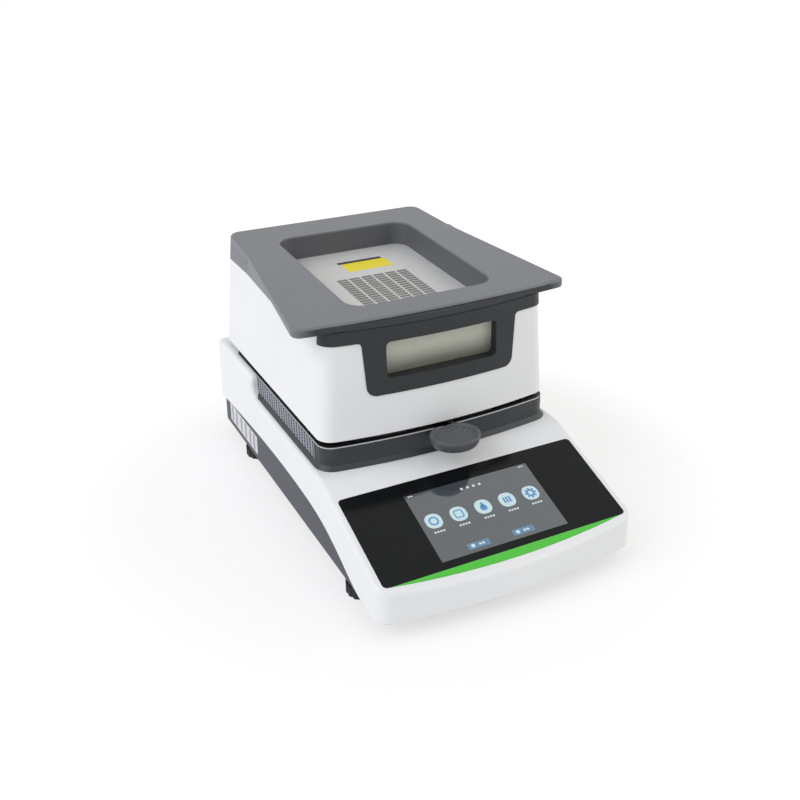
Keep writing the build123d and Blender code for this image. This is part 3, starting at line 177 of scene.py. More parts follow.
def turned(name, dark, light, roughness, groove_mm, centre, strength=0.3):
    """Turned or spun metal: rings groove_mm apart about an upright axis through centre."""
    parts = new_material(name)
    tree = parts[1]
    coordinates = add_node(tree, "ShaderNodeTexCoord")
    mapping = add_node(
        tree,
        "ShaderNodeMapping",
        values={"Location": (-centre[0] * MM, -centre[1] * MM, 0)},
        links={"Vector": coordinates.outputs["Object"]},
    )
    rings = add_node(
        tree,
        "ShaderNodeTexWave",
        wave_type="RINGS",
        rings_direction="Z",
        values={"Scale": 0.314 / (groove_mm * MM), "Distortion": 0.6, "Detail": 2.0, "Detail Scale": 1.5},
        links={"Vector": mapping.outputs["Vector"]},
    )
    bump = add_node(
        tree,
        "ShaderNodeBump",
        values={"Strength": strength, "Distance": 0.03 * MM},
        links={"Height": rings.outputs["Fac"]},
    )
    shader = add_node(
        tree,
        "ShaderNodeBsdfPrincipled",
        values={"Metallic": 1.0},
        links={
            "Base Color": tinted(tree, rings.outputs["Fac"], dark, light),
            "Roughness": between(tree, rings.outputs["Fac"], roughness * 0.8, roughness * 1.2),
            "Normal": bump.outputs["Normal"],
        },
    )
    return finish_surface(parts, shader)


def clear(name, tint, roughness, ior, smear):
    """Glass seen through: transmission with faint smears in its gloss."""
    parts = new_material(name)
    tree = parts[1]
    smears = grain(tree, 25.0, detail=3.0)
    shader = add_node(
        tree,
        "ShaderNodeBsdfPrincipled",
        values={"Base Color": linear(tint), "Transmission Weight": 1.0, "IOR": ior},
        links={"Roughness": between(tree, smears, roughness, roughness + smear)},
    )
    return finish_surface(parts, shader)


def etched(name):
    """Etched window glass that lets little light through, with a painted reflection: its colour turns lighter up
    the pane.
    """
    parts = new_material(name)
    tree = parts[1]
    coordinates = add_node(tree, "ShaderNodeTexCoord")
    split = add_node(tree, "ShaderNodeSeparateXYZ", links={"Vector": coordinates.outputs["Object"]})
    # Painted reflection: the colour turns lighter from 150 mm to 166 mm up the pane
    height = add_node(
        tree,
        "ShaderNodeMapRange",
        interpolation_type="SMOOTHSTEP",
        values={"From Min": 0.150, "From Max": 0.166},
        links={"Value": split.outputs["Z"]},
    )
    shader = add_node(
        tree,
        "ShaderNodeBsdfPrincipled",
        values={"Transmission Weight": 0.15, "IOR": 1.5},
        links={
            "Base Color": tinted(tree, height.outputs["Result"], "#8C8F82", "#D6D8C9"),
            "Roughness": between(tree, grain(tree, 25.0, detail=3.0), 0.22, 0.34),
        },
    )
    return finish_surface(parts, shader)


def lit(name, hex_code, glow):
    """A lit patch of the screen: glossy and glowing a little."""
    parts = new_material(name)
    tree = parts[1]
    dots = grain(tree, 0.5)
    shader = add_node(
        tree,
        "ShaderNodeBsdfPrincipled",
        values={"Roughness": 0.12, "Emission Color": linear(hex_code), "Emission Strength": glow},
        links={"Base Color": tinted(tree, dots, hex_code, hex_code)},
    )
    return finish_surface(parts, shader)


# Surfaces

def mesh_piece(name, points, faces, material, body, slot, smooth=False, weld=False):
    """Puts whole arrays of points (millimetres) and faces into a mesh that rides on a body."""
    mesh = bpy.data.meshes.new(name)
    mesh.from_pydata((np.asarray(points, float) * MM).tolist(), [], [list(face) for face in faces])
    mesh.validate()
    if weld:
        shell = bmesh.new()
        shell.from_mesh(mesh)
        bmesh.ops.remove_doubles(shell, verts=shell.verts, dist=1e-6)
        bmesh.ops.recalc_face_normals(shell, faces=shell.faces)
        shell.to_mesh(mesh)
        shell.free()
    mesh.polygons.foreach_set("use_smooth", np.full(len(mesh.polygons), smooth))
    mesh.update()
    piece = bpy.data.objects.new(name, mesh)
    bpy.context.scene.collection.objects.link(piece)
    mesh.materials.append(material)
    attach(piece, body)
    return piece


def slab(outline, top, bottom, places=((0, 0),)):
    """Closed slabs: an outline (n, 2) copied to each place between two heights, as points and faces."""
    places = np.asarray(places, float)
    count, copies = len(outline), len(places)
    flat = (outline[None, :, :] + places[:, None, :]).reshape(-1, 2)
    upper = np.column_stack([flat, np.full(len(flat), top)])
    lower = np.column_stack([flat, np.full(len(flat), bottom)])
    points = np.vstack([upper, lower])
    ring = np.arange(count)
    after = np.roll(ring, -1)
    shift = (np.arange(copies) * count)[:, None]
    under = count * copies
    caps = (ring[None, :] + shift).tolist() + (ring[None, ::-1] + shift + under).tolist()
    sides = np.stack([ring, ring + under, after + under, after], axis=1)
    tray_wall_shade = (sides[None, :, :] + shift[:, :, None]).reshape(-1, 4).tolist()
    return points, caps + tray_wall_shade


def rounded(width, height, radius, steps=6, power=2.0):
    """Rounded rectangle, anticlockwise: four corner arcs of cos and sin to the power 2 / power."""
    turn = np.linspace(0, np.pi / 2, steps)
    arc = np.stack([np.cos(turn), np.sin(turn)], axis=1) ** (2 / power)
    half = np.array([width / 2 - radius, height / 2 - radius])
    corners = [
        half + radius * arc,
        half * (-1, 1) + radius * arc[::-1] * (-1, 1),
        -half - radius * arc,
        half * (1, -1) + radius * arc[::-1] * (1, -1),
    ]
    return np.vstack(corners)


def disc(radius, steps=32):
    """Circle of points, anticlockwise: cosine and sine of equal steps times the radius."""
    turn = np.arange(steps) * 2 * np.pi / steps
    return radius * np.stack([np.cos(turn), np.sin(turn)], axis=1)


def joined(parts):
    """Several (points, faces) pairs as one."""
    points, faces, base = [], [], 0
    for some_points, some_faces in parts:
        points.append(some_points)
        faces += [[index + base for index in face] for face in some_faces]
        base += len(some_points)
    return np.vstack(points), faces


def tube(path, radius, steps=10, closed=False):
    """Round tube: each path point's ring is cosine and sine of equal steps along the path's two normals."""
    path = np.asarray(path, float)
    tangent = np.roll(path, -1, 0) - np.roll(path, 1, 0) if closed else np.gradient(path, axis=0)
    tangent /= np.linalg.norm(tangent, axis=1)[:, None]
    helper = np.where(np.abs(tangent[:, 2:3]) > 0.9, np.array([[1.0, 0, 0]]), np.array([[0, 0, 1.0]]))
    first = np.cross(tangent, helper)
    first /= np.linalg.norm(first, axis=1)[:, None]
    second = np.cross(tangent, first)
    turn = np.arange(steps) * 2 * np.pi / steps
    rings = path[:, None] + radius * (
        np.cos(turn)[None, :, None] * first[:, None] + np.sin(turn)[None, :, None] * second[:, None]
    )
    count = len(path)
    rows = np.arange(count if closed else count - 1)
    here = rows[:, None] * steps + np.arange(steps)[None]
    there = ((rows + 1) % count)[:, None] * steps + np.arange(steps)[None]
    faces = np.stack(
        [here, np.roll(here, -1, 1), np.roll(there, -1, 1), there], axis=2
    ).reshape(-1, 4).tolist()
    if not closed:
        faces += [np.arange(steps)[::-1].tolist(), (np.arange(steps) + (count - 1) * steps).tolist()]
    return rings.reshape(-1, 3), faces


def perforated(face_x, thickness, low, high, columns, rows, hole, side):
    """Perforated plate: each cell's rectangle and its oval hole, two rings in the same twelve directions.

    The cells fill the plate from low to high (along Y, up Z), and the hole is given by its two half sizes.
    """
    low, high = np.array(low, float), np.array(high, float)
    pitch = (high - low) / (columns, rows)
    corner = np.arctan2(pitch[1], pitch[0])
    first = np.array([0, corner, np.radians(62), np.pi / 2, np.radians(118), np.pi - corner])
    turn = np.concatenate([first, first + np.pi])
    way = np.stack([np.cos(turn), np.sin(turn)], axis=1)
    edge = way / (2 * np.abs(way) / pitch).max(axis=1, keepdims=True)
    cells = np.stack(np.meshgrid(np.arange(columns), np.arange(rows)), -1).reshape(-1, 2)
    centres = low + (cells + 0.5) * pitch
    rings = np.stack([edge, way * hole, way * hole, edge])
    flat = (centres[:, None, None] + rings[None]).reshape(-1, 2)
    depth = np.tile(np.repeat([0.0, 0.0, -thickness, -thickness], 12), len(centres))
    here = np.arange(36)
    after = here - here % 12 + (here + 1) % 12
    quads = np.stack([here, after, after + 12, here + 12], axis=1)
    faces = (quads[None] + 48 * np.arange(len(centres))[:, None, None]).reshape(-1, 4).tolist()
    base = len(flat)
    rim = np.array([low, (high[0], low[1]), high, (low[0], high[1])])
    flat, depth = np.vstack([flat, rim, rim]), np.append(depth, np.repeat([0.0, -thickness], 4))
    faces += [[base + i, base + 4 + i, base + 4 + (i + 1) % 4, base + (i + 1) % 4] for i in range(4)]
    if side < 0:
        faces = [face[::-1] for face in faces]
    return np.column_stack([side * (face_x + depth), flat[:, 0], flat[:, 1]]), faces


def grip_surface(centre, half_width, half_depth, top, bottom, rear, steps=120):
    """Finger grip: an ellipse drawn out by a share, dished inside a rim and waved in rings about a point.

    The height inside the rim is the top less the dish and less half a cosine of the distance from a point
    behind. The shares run out to one over the top, down the side and back under the foot, and the rear is cut
    straight.
    """
    turn = np.arange(steps) * 2 * np.pi / steps
    crown = 44
    over = np.linspace(0, 0.965, crown)
    share = np.concatenate([over, [0.985, 0.997, 1.0, 0.995, 0.95, 0.915, 0.9, 0.0]])
    x = half_width * share[:, None] * np.cos(turn)
    y = np.minimum(centre + half_depth * share[:, None] * np.sin(turn), rear)
    inside = np.clip((0.885 - over) / 0.07, 0, 1)[:, None]
    dish = inside * inside * (3 - 2 * inside)
    reach = np.hypot(x[:crown], y[:crown] - centre - 1.35 * half_depth)
    wave = (0.5 + 0.5 * np.cos(2 * np.pi * reach / 5.1)) ** 2
    z = np.empty_like(x)
    z[:crown] = top - dish * (1.1 + 1.0 * wave)
    side_wall = [top - 0.25, top - 0.7, top - 1.3, top - 2.6, bottom + 1.6, bottom + 0.5, bottom, bottom]
    z[crown:] = np.array(side_wall)[:, None]
    rows = np.arange(len(share) - 1)[:, None] * steps
    ring = np.arange(steps)[None]
    after = (ring + 1) % steps
    faces = np.stack(
        [rows + ring, rows + steps + ring, rows + steps + after, rows + after], axis=2
    ).reshape(-1, 4)
    return np.stack([x, y, z], axis=2).reshape(-1, 3), faces.tolist()


# Planes that the details lie on

SLOPE = np.radians(18.6)
SLOPE_TOP = np.array([0, -93.5, 69.5])
COVER = np.radians(2.58)
COVER_REAR = np.array([0, 162.0, 205.0])


def on_plane(points, origin, angle):
    """From (across, up the plane, above it) to the frame: the plane rises along +Y from its origin."""
    along = np.array([0, np.cos(angle), np.sin(angle)])
    above = np.array([0, -np.sin(angle), np.cos(angle)])
    return origin + points[:, :1] * (1, 0, 0) + points[:, 1:2] * along + points[:, 2:] * above


def on_slope(parts):
    """Places (points, faces) on the display's plane."""
    points, faces = parts
    return on_plane(points, SLOPE_TOP, SLOPE), faces


def on_cover(parts):
    """Places (points, faces) on the lid's top plane."""
    points, faces = parts
    return on_plane(points, COVER_REAR, COVER), faces


def on_tub_side(parts):
    """From (to the front, up, out of the wall) to the tub's left wall, which leans in 0.028 a millimetre."""
    points, faces = parts
    wall = 106.6 - (points[:, 1] - 15.0) * 0.028
    return np.column_stack([-(wall + points[:, 2]), -points[:, 0], points[:, 1]]), faces


class FinishSizes(bpy.types.PropertyGroup):
    """Colours and grain of the main finishes."""

    housing: bpy.props.StringProperty(
        name="Housing", description="Colour of the white housing, sRGB hex", default="#EEEFF0"
    )
    collar: bpy.props.StringProperty(
        name="Collar", description="Colour of the chamber's collar", default="#2A2D30"
    )
    cover: bpy.props.StringProperty(
        name="Cover", description="Colour of the lid's top cover", default="#75767A"
    )
    accent: bpy.props.StringProperty(
        name="Accent", description="Colour of the accent strip", default="#43C828"
    )
    grain_mm: bpy.props.FloatProperty(
        name="Grain", description="Grain of the moulded plastics, millimetres", default=0.7, min=0.1, max=5
    )


class ScreenSizes(bpy.types.PropertyGroup):
    """Layout of the menu that the display shows."""

    icon_size: bpy.props.FloatProperty(
        name="Icon size", description="Width of a menu icon, millimetres", default=13.4, min=4, max=20
    )
    icon_pitch: bpy.props.FloatProperty(
        name="Icon pitch", description="Distance between icons, millimetres", default=21.2, min=10, max=30
    )
    icon_row: bpy.props.FloatProperty(
        name="Icon row",
        description="Distance of the icons below the glass's upper edge, millimetres",
        default=41.3,
    )
    caption_row: bpy.props.FloatProperty(
        name="Caption row",
        description="Distance of the captions below the glass's upper edge, millimetres",
        default=51.6,
    )
    title_row: bpy.props.FloatProperty(
        name="Title row",
        description="Distance of the title below the glass's upper edge, millimetres",
        default=20.2,
    )
    button_row: bpy.props.FloatProperty(
        name="Button row",
        description="Distance of the buttons below the glass's upper edge, millimetres",
        default=71.6,
    )


class StageSizes(bpy.types.PropertyGroup):
    """Camera and light."""

    lens: bpy.props.FloatProperty(
        name="Lens", description="Focal length of the camera, millimetres", default=43.74
    )
    key_power: bpy.props.FloatProperty(
        name="Key light", description="Strength of the broad key light from the left", default=1.3
    )
    fill_power: bpy.props.FloatProperty(
        name="Fill light", description="Strength of the broad fill light from the right", default=0.75
    )
    key_angle: bpy.props.FloatProperty(
        name="Key size", description="Angle that the key light fills", default=0.8, subtype="ANGLE"
    )
    sky: bpy.props.FloatProperty(
        name="Sky", description="Strength of the even light from all round", default=0.56
    )
    shadow: bpy.props.FloatProperty(
        name="Shadow",
        description="Share of the paper's own shading that shows near the object",
        default=0.4,
        min=0,
        max=1,
    )


def dress(material, *nodes):
    """Gives CAD nodes a finish."""
    for name in nodes:
        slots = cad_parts[name].material_slots
        if not slots:
            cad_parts[name].data.materials.append(material)
        for slot in slots:
            slot.material = material


class ANALYZER_OT_finishes(bpy.types.Operator):
    """Gives every solid of the analyzer its finish"""

    bl_idname = "analyzer.finishes"
    bl_label = "Dress the solids"

    def execute(self, context):
        look = context.scene.analyzer_finish
        size = look.grain_mm
        # White ABS from a spark-eroded mould: even, faintly grained, soft gloss
        dress(
            moulded("abs_moulded_white", look.housing, "#F6F7F8", 0.42, size, 0.05, 0.25),
            "base_cover",
            "hood_shell",
        )
        # Grey ABS tub with a coarser mould texture
        dress(
            moulded("abs_textured_grey", "#4E4F55", "#57585F", 0.55, size, 0.08, 0.4, specular=0.3),
            "bottom_chassis",
        )
        dress(collar_satin_and_gap_shade(look.collar), "chamber_ring")
        # Powder-coated die casting of the top cover: orange-peel skin, with painted shade on the tray's sides
        dress(cover_coat_and_shade(look.cover), "lid_top_cover")
        # Black injection-moulded frame, satin
        dress(
            moulded("pbt_satin_black", "#282A2C", "#2E3032", 0.42, size, 0.04, 0.2, specular=0.35),
            "front_frame",
        )
        # Back-printed toughened glass: black seen through a clear polished face
        dress(
            moulded("glass_back_printed_black", "#121314", "#161718", 0.1, 40.0, 0.01, 0.1, specular=0.16),
            "display_glass",
        )
        # Translucent green PMMA strip, polished
        dress(moulded("pmma_green", look.accent, "#4CC830", 0.22, 4.0, 0.01, 0.1, coat=0.3), "accent_strip")
        dress(screen_finish(), "touch_display")
        # Zinc-plated and stainless sheet: drawn lines from rolling
        dress(
            metal("steel_sheet_rolled", "#A9AAAC", "#C4C5C7", 0.34, 0.5, (1, 30, 1), 0.25),
            "display_bracket", "chamber_floor", "heat_liner", "data_port",
        )
        dress(tray_finish(), "tray_plate")
        # Stainless ring, brushed round
        dress(
            turned("steel_brushed_round", "#A5A6A8", "#CDCED0", 0.3, 0.6, (0, 30)), "draft_ring", "glass_ring"
        )
        # Bright-rolled reflector, polished
        dress(turned("steel_polished_reflector", "#C9CACC", "#DEDFE0", 0.12, 1.5, (0, 30), 0.12), "reflector")
        # Stainless handler, laser-cut and brushed across
        dress(
            metal("steel_brushed_handler", "#9FA0A2", "#C6C7C9", 0.28, 0.4, (25, 1, 1), 0.25), "pan_handler"
        )
        # Deep-drawn aluminium pan: spun rings, soft shine
        dress(turned("aluminium_pressed", "#C2C3C5", "#DADBDC", 0.36, 2.4, (0, 30), 0.5), "sample_pan")
        dress(
            metal("aluminium_milled", "#A8A9AC", "#BFC0C3", 0.38, 0.8, (12, 1, 1), 0.2),
            "load_cell",
            "load_cell_bracket",
        )
        dress(
            metal("steel_turned_bright", "#9C9DA0", "#C0C1C3", 0.3, 0.3, (1, 1, 0.2), 0.2),
            "pan_support", "weighing_post", "hinge_bracket_left", "hinge_bracket_right", "hinge_pin_left",
            "hinge_pin_right", "hinge_arm_left", "hinge_arm_right", "chassis_screws", "lid_screws",
            "temperature_sensor", *[f"foot_stud_{place}" for place in FOOT_PLACES],
        )
        # Free-cutting brass, turned
        dress(metal("brass_turned", "#B28A3E", "#D0A757", 0.3, 0.3, (1, 1, 0.2), 0.2), "foot_bushes")
        dress(board_finish(), "main_board", "power_board")
        # Glass-filled nylon of inlet and switch: dull black
        dress(
            moulded("nylon_glass_filled_black", "#1B1C1E", "#222326", 0.5, 0.5, 0.05, 0.35),
            "power_inlet",
            "switch_frame",
        )
        dress(moulded("nylon_rocker_black", "#202124", "#282A2D", 0.35, 0.5, 0.03, 0.2), "switch_rocker")
        # Soft black rubber and moulded foot pads: no gloss
        dress(moulded("epdm_rubber_black", "#151617", "#1C1D1E", 0.75, 0.6, 0.08, 0.5), "lid_bumpers")
        dress(
            moulded("tpe_foot_black", "#121314", "#1A1B1D", 0.62, 0.6, 0.06, 0.4),
            *[f"foot_pad_{place}" for place in FOOT_PLACES],
        )
        # Steatite block: matt, off-white, pressed and fired
        dress(moulded("steatite_fired", "#D8D2C4", "#E6E1D5", 0.7, 0.8, 0.08, 0.4), "lamp_holder")
        # Heat-resistant window glass, etched: greenish, seen through only dimly, with a painted reflection that
        # turns lighter up the pane
        dress(etched("glass_window_etched_painted_reflection"), "window_glass")
        dress(clear("quartz_fused", "#F4F5F5", 0.01, 1.46, 0.02), "halogen_lamp", "heater_glass")
        dress(clear("acrylic_level", "#EEF3E2", 0.03, 1.49, 0.04), "spirit_level")
        return {"FINISHED"}


FOOT_PLACES = ("front_left", "front_right", "rear_left", "rear_right")


def coated_with_hole_shade(name, face, depth, reach, roughness):
    """Coated sheet: one colour on faces beyond reach (metres) from the middle plane, and another in the holes,
    which is painted shade inside them.
    """
    parts = new_material(name)
    tree = parts[1]
    coordinates = add_node(tree, "ShaderNodeTexCoord")
    axes = add_node(tree, "ShaderNodeSeparateXYZ", links={"Vector": coordinates.outputs["Object"]})
    away = add_node(tree, "ShaderNodeMath", operation="ABSOLUTE", links={0: axes.outputs["X"]})
    # Painted shade: faces within reach of the middle plane, the holes' walls, take the dark colour
    outer = add_node(
        tree, "ShaderNodeMath", operation="GREATER_THAN", values={1: reach}, links={0: away.outputs[0]}
    )
    fine = grain(tree, 1.0)
    shader = add_node(
        tree,
        "ShaderNodeBsdfPrincipled",
        values={"Specular IOR Level": 0.3},
        links={
            "Base Color": tinted(tree, outer.outputs[0], depth, face),
            "Roughness": between(tree, fine, roughness * 0.9, roughness * 1.1),
        },
    )
    return finish_surface(parts, shader)


def cover_coat_and_shade(hex_code):
    """Powder coat of the top cover, darker on the cover's front edge, and darker on the tray's sides as painted
    shade of the recess.

    Depth is the distance under the top plane, and the front edge lies ahead of an arc that bows 6.5 mm.
    """
    parts = new_material("powder_coat_grey")
    tree = parts[1]
    coordinates = add_node(tree, "ShaderNodeTexCoord")
    axes = add_node(tree, "ShaderNodeSeparateXYZ", links={"Vector": coordinates.outputs["Object"]})

    def worked(operation, first, second, third=0.0):
        """Math node whose inputs are sockets or plain numbers."""
        node = add_node(tree, "ShaderNodeMath", operation=operation)
        for slot, value in enumerate((first, second, third)):
            if isinstance(value, float):
                node.inputs[slot].default_value = value
            else:
                tree.links.new(value, node.inputs[slot])
        return node.outputs[0]

    x, y, z = (axes.outputs[name] for name in "XYZ")
    rise = worked("MULTIPLY_ADD", y, float(np.tan(COVER)), 0.205 - 0.162 * float(np.tan(COVER)))
    under = worked("GREATER_THAN", worked("SUBTRACT", rise, z), 0.0014)
    arc = worked("MULTIPLY_ADD", worked("MULTIPLY", x, x), -6.5 * MM / 0.117 ** 2, 0.0648)
    ahead = worked("LESS_THAN", worked("ADD", y, arc), 0.0009)
    within = worked(
        "MULTIPLY",
        worked("LESS_THAN", worked("ABSOLUTE", x, 0.0), 0.0642),
        worked("COMPARE", y, 0.043, 0.0842),
    )
    fade = add_node(
        tree,
        "ShaderNodeMapRange",
        values={"From Min": 0.114, "From Max": 0.100},
        links={"Value": worked("ABSOLUTE", x, 0.0)},
    )
    edge = worked("MULTIPLY", worked("MULTIPLY", under, ahead), fade.outputs["Result"])
    # Painted shade: the tray's sides under the top plane take the darker grey #5C5D61, where the recess is in
    # shade
    wall = worked("MULTIPLY", under, within)
    fine = grain(tree, 1.4)
    plain = tinted(tree, grain(tree, 60.0, detail=3.0), hex_code, "#7A7B80")
    tray_wall_shade = add_node(
        tree, "ShaderNodeMix", data_type="RGBA", values={7: linear("#5C5D61")}, links={0: wall, 6: plain}
    )
    edges = add_node(
        tree,
        "ShaderNodeMix",
        data_type="RGBA",
        values={7: linear("#303235")},
        links={0: edge, 6: tray_wall_shade.outputs[2]},
    )
    bump = add_node(
        tree, "ShaderNodeBump", values={"Strength": 0.3, "Distance": 0.04 * MM}, links={"Height": fine}
    )
    shader = add_node(
        tree,
        "ShaderNodeBsdfPrincipled",
        values={"Specular IOR Level": 0.4},
        links={
            "Base Color": edges.outputs[2],
            "Roughness": between(tree, fine, 0.4, 0.5),
            "Normal": bump.outputs["Normal"],
        },
    )
    return finish_surface(parts, shader)


def collar_satin_and_gap_shade(hex_code):
    """Satin collar whose top edge carries a light grey line, with a near-black band above it that is painted
    shade of the gap: a step in height above 96 mm.
    """
    parts = new_material("pbt_satin_collar")
    tree = parts[1]
    coordinates = add_node(tree, "ShaderNodeTexCoord")
    split = add_node(tree, "ShaderNodeSeparateXYZ", links={"Vector": coordinates.outputs["Object"]})
    ramp = add_node(
        tree,
        "ShaderNodeMapRange",
        values={"From Min": 0.0950, "From Max": 0.0966},
        links={"Value": split.outputs["Z"]},
    )
    # Painted bands along the top edge: collar grey, a light grey line, then near-black painted shade of the gap
    # above the collar
    bands = add_node(tree, "ShaderNodeValToRGB", links={"Fac": ramp.outputs["Result"]})
    bands.color_ramp.elements[0].color = linear("#2E3135")
    bands.color_ramp.elements[1].color = linear("#101113")
    for place, shade in ((0.22, "#2E3135"), (0.3, "#C4C7CA"), (0.62, "#C4C7CA"), (0.74, "#101113")):
        bands.color_ramp.elements.new(place).color = linear(shade)
    fine = grain(tree, 0.7)
    near_top = add_node(
        tree, "ShaderNodeMath", operation="GREATER_THAN", values={1: 0.1}, links={0: ramp.outputs["Result"]}
    )
    colour = add_node(
        tree,
        "ShaderNodeMix",
        data_type="RGBA",
        links={
            0: near_top.outputs[0],
            6: tinted(tree, grain(tree, 60.0), hex_code, "#303337"),
            7: bands.outputs["Color"],
        },
    )
    bump = add_node(
        tree, "ShaderNodeBump", values={"Strength": 0.3, "Distance": 0.05 * MM}, links={"Height": fine}
    )
    shader = add_node(
        tree,
        "ShaderNodeBsdfPrincipled",
        links={
            "Base Color": colour.outputs[2],
            "Roughness": between(tree, fine, 0.4, 0.52),
            "Normal": bump.outputs["Normal"],
        },
    )
    return finish_surface(parts, shader)


def screen_finish():
    """Liquid-crystal panel: grey backlit face with a slow tint across it, under a glossy cover."""
    parts = new_material("lcd_panel_backlit")
    tree = parts[1]
    drift = grain(tree, 90.0)
    colour = tinted(tree, drift, "#353B3F", "#3D444A")
    shader = add_node(
        tree,
        "ShaderNodeBsdfPrincipled",
        values={
            "Emission Strength": 0.3, "Specular IOR Level": 0.9, "Coat Weight": 0.8, "Coat Roughness": 0.03
        },
        links={"Base Color": colour, "Emission Color": colour, "Roughness": between(tree, drift, 0.05, 0.09)},
    )
    return finish_surface(parts, shader)


def tray_finish():
    """Galvanised and clear-passivated sheet: fine spangle, dull grey-white."""
    parts = new_material("steel_passivated_tray")
    tree = parts[1]
    coordinates = add_node(tree, "ShaderNodeTexCoord")
    spangle = add_node(
        tree,
        "ShaderNodeTexVoronoi",
        values={"Scale": 1 / (3.0 * MM)},
        links={"Vector": coordinates.outputs["Object"]},
    )
    shader = add_node(
        tree,
        "ShaderNodeBsdfPrincipled",
        values={"Metallic": 0.35},
        links={
            "Base Color": tinted(tree, spangle.outputs["Distance"], "#CFCFCE", "#DADAD9"),
            "Roughness": between(tree, spangle.outputs["Distance"], 0.5, 0.62),
        },
    )
    return finish_surface(parts, shader)


def board_finish():
    """Glass-fibre board under green solder mask, with a brick pattern of tracks."""
    parts = new_material("fr4_solder_mask_green")
    tree = parts[1]
    coordinates = add_node(tree, "ShaderNodeTexCoord")
    tracks = add_node(
        tree,
        "ShaderNodeTexBrick",
        values={
            "Color1": linear("#1C5B33"),
            "Color2": linear("#1F6338"),
            "Mortar": linear("#2E7A49"),
            "Scale": 60.0,
            "Mortar Size": 0.03,
        },
        links={"Vector": coordinates.outputs["Object"]},
    )
    shader = add_node(
        tree,
        "ShaderNodeBsdfPrincipled",
        values={"Coat Weight": 0.2},
        links={
            "Base Color": tracks.outputs["Color"], "Roughness": between(tree, grain(tree, 3.0), 0.35, 0.5)
        },
    )
    return finish_surface(parts, shader)


class ANALYZER_OT_screen(bpy.types.Operator):
    """Draws the menu on the display: five icons, captions as plain bars, a title and two buttons"""

    bl_idname = "analyzer.screen"
    bl_label = "Draw the menu"

    def execute(self, context):
        sizes = context.scene.analyzer_screen
        columns = (np.arange(5) - 2) * sizes.icon_pitch - 0.4
        icons = np.stack([columns, np.full(5, -sizes.icon_row)], axis=1)
        square = rounded(sizes.icon_size, sizes.icon_size, sizes.icon_size * 0.42, steps=9)
        # A lit, pale cyan tile is printed light, not paint: it glows a little
        pale = lit("screen_tile_cyan", "#B4CBD1", 0.35)
        mesh_piece("screen_icons", *on_slope(slab(square, 0.0, -0.08, icons)), pale, "base", "screen")
        blue = lit("screen_mark_blue", "#5486B4", 0.3)
        s = sizes.icon_size / 13.4
        marks = [
            ring_mark(icons[0], 4.0 * s, 2.7 * s),
            frame_mark(icons[1], 7.6 * s, 5.6 * s),
            slab(disc(2.9 * s), 0.06, -0.02, [icons[2] + (0, -0.9 * s)]),
            slab(rounded(2.2 * s, 5.0 * s, 0.8 * s), 0.06, -0.02, [icons[2] + (0, 1.6 * s)]),
            slab(
                rounded(1.5 * s, 5.6 * s, 0.3),
                0.06,
                -0.02,
                icons[3] + np.array([[-2.4, 0], [0, 0], [2.4, 0]]) * s,
            ),
            ring_mark(icons[4], 3.7 * s, 1.9 * s),
            slab(rounded(1.4 * s, 1.4 * s, 0.2), 0.06, -0.02, icons[4] + 4.3 * s * octagon()),
        ]
        mesh_piece("screen_icon_marks", *on_slope(joined(marks)), blue, "base", "screen")
        white = lit("screen_caption_white", "#C9D2D6", 0.3)
        cells = np.array([-3.6, -1.2, 1.2, 3.6])
        captions = np.stack(
            [(columns[:, None] + cells[None]).ravel(), np.full(20, -sizes.caption_row)], axis=1
        )
        title = np.stack([np.array([-11.5, -6.2, -1.0, 4.3]) + 3.5, np.full(4, -sizes.title_row)], axis=1)
        corner = np.array([[-50.5, -14.2], [-48.2, -14.2], [47.0, -14.9], [49.4, -14.9]])
        buttons = np.array([[-20.8, -sizes.button_row], [17.6, -sizes.button_row]])
        words = [
            slab(rounded(1.7, 1.5, 0.3), 0.04, -0.04, captions),
            slab(rounded(2.1, 2.1, 0.4), 0.04, -0.04, title),
            slab(rounded(1.7, 1.0, 0.2), 0.04, -0.04, corner),
            slab(rounded(1.9, 1.7, 0.3), 0.1, 0.0, np.vstack([buttons + (1.2, 0), buttons + (3.9, 0)])),
            slab(disc(1.6, 20), 0.1, 0.0, buttons - (4.8, 0)),
        ]
        mesh_piece("screen_captions", *on_slope(joined(words)), white, "base", "screen")
        mesh_piece(
            "screen_buttons",
            *on_slope(slab(rounded(18.6, 5.4, 1.2), 0.0, -0.08, buttons)),
            lit("screen_button_blue", "#5B7F9C", 0.3),
            "base",
            "screen",
        )
        return {"FINISHED"}


def octagon():
    """Eight unit directions at equal angles."""
    turn = np.arange(8) * np.pi / 4
    return np.stack([np.cos(turn), np.sin(turn)], axis=1)


def band(outer, inner, top, bottom, place):
    """Closed band between two outlines of equal count: outer and inner rings at two heights, joined round."""
    count = len(outer)
    rings = [np.column_stack([line + place, np.full(count, z)]) for line, z in
             ((outer, top), (inner, top), (inner, bottom), (outer, bottom))]
    here = np.arange(count)
    after = np.roll(here, -1)
    faces = []
    for first, second in ((0, 1), (1, 2), (2, 3), (3, 0)):
        faces.append(np.stack([here + first * count, after + first * count,
                               after + second * count, here + second * count], axis=1))
    return np.vstack(rings), np.vstack(faces).tolist()


def ring_mark(place, outer, inner):
    """Flat ring on a menu tile."""
    return band(disc(outer), disc(inner), 0.06, -0.02, place)


def frame_mark(place, outer, inner):
    """Flat rounded frame on a menu tile."""
    return band(rounded(outer, outer, 1.6), rounded(inner, inner, 0.8), 0.06, -0.02, place)


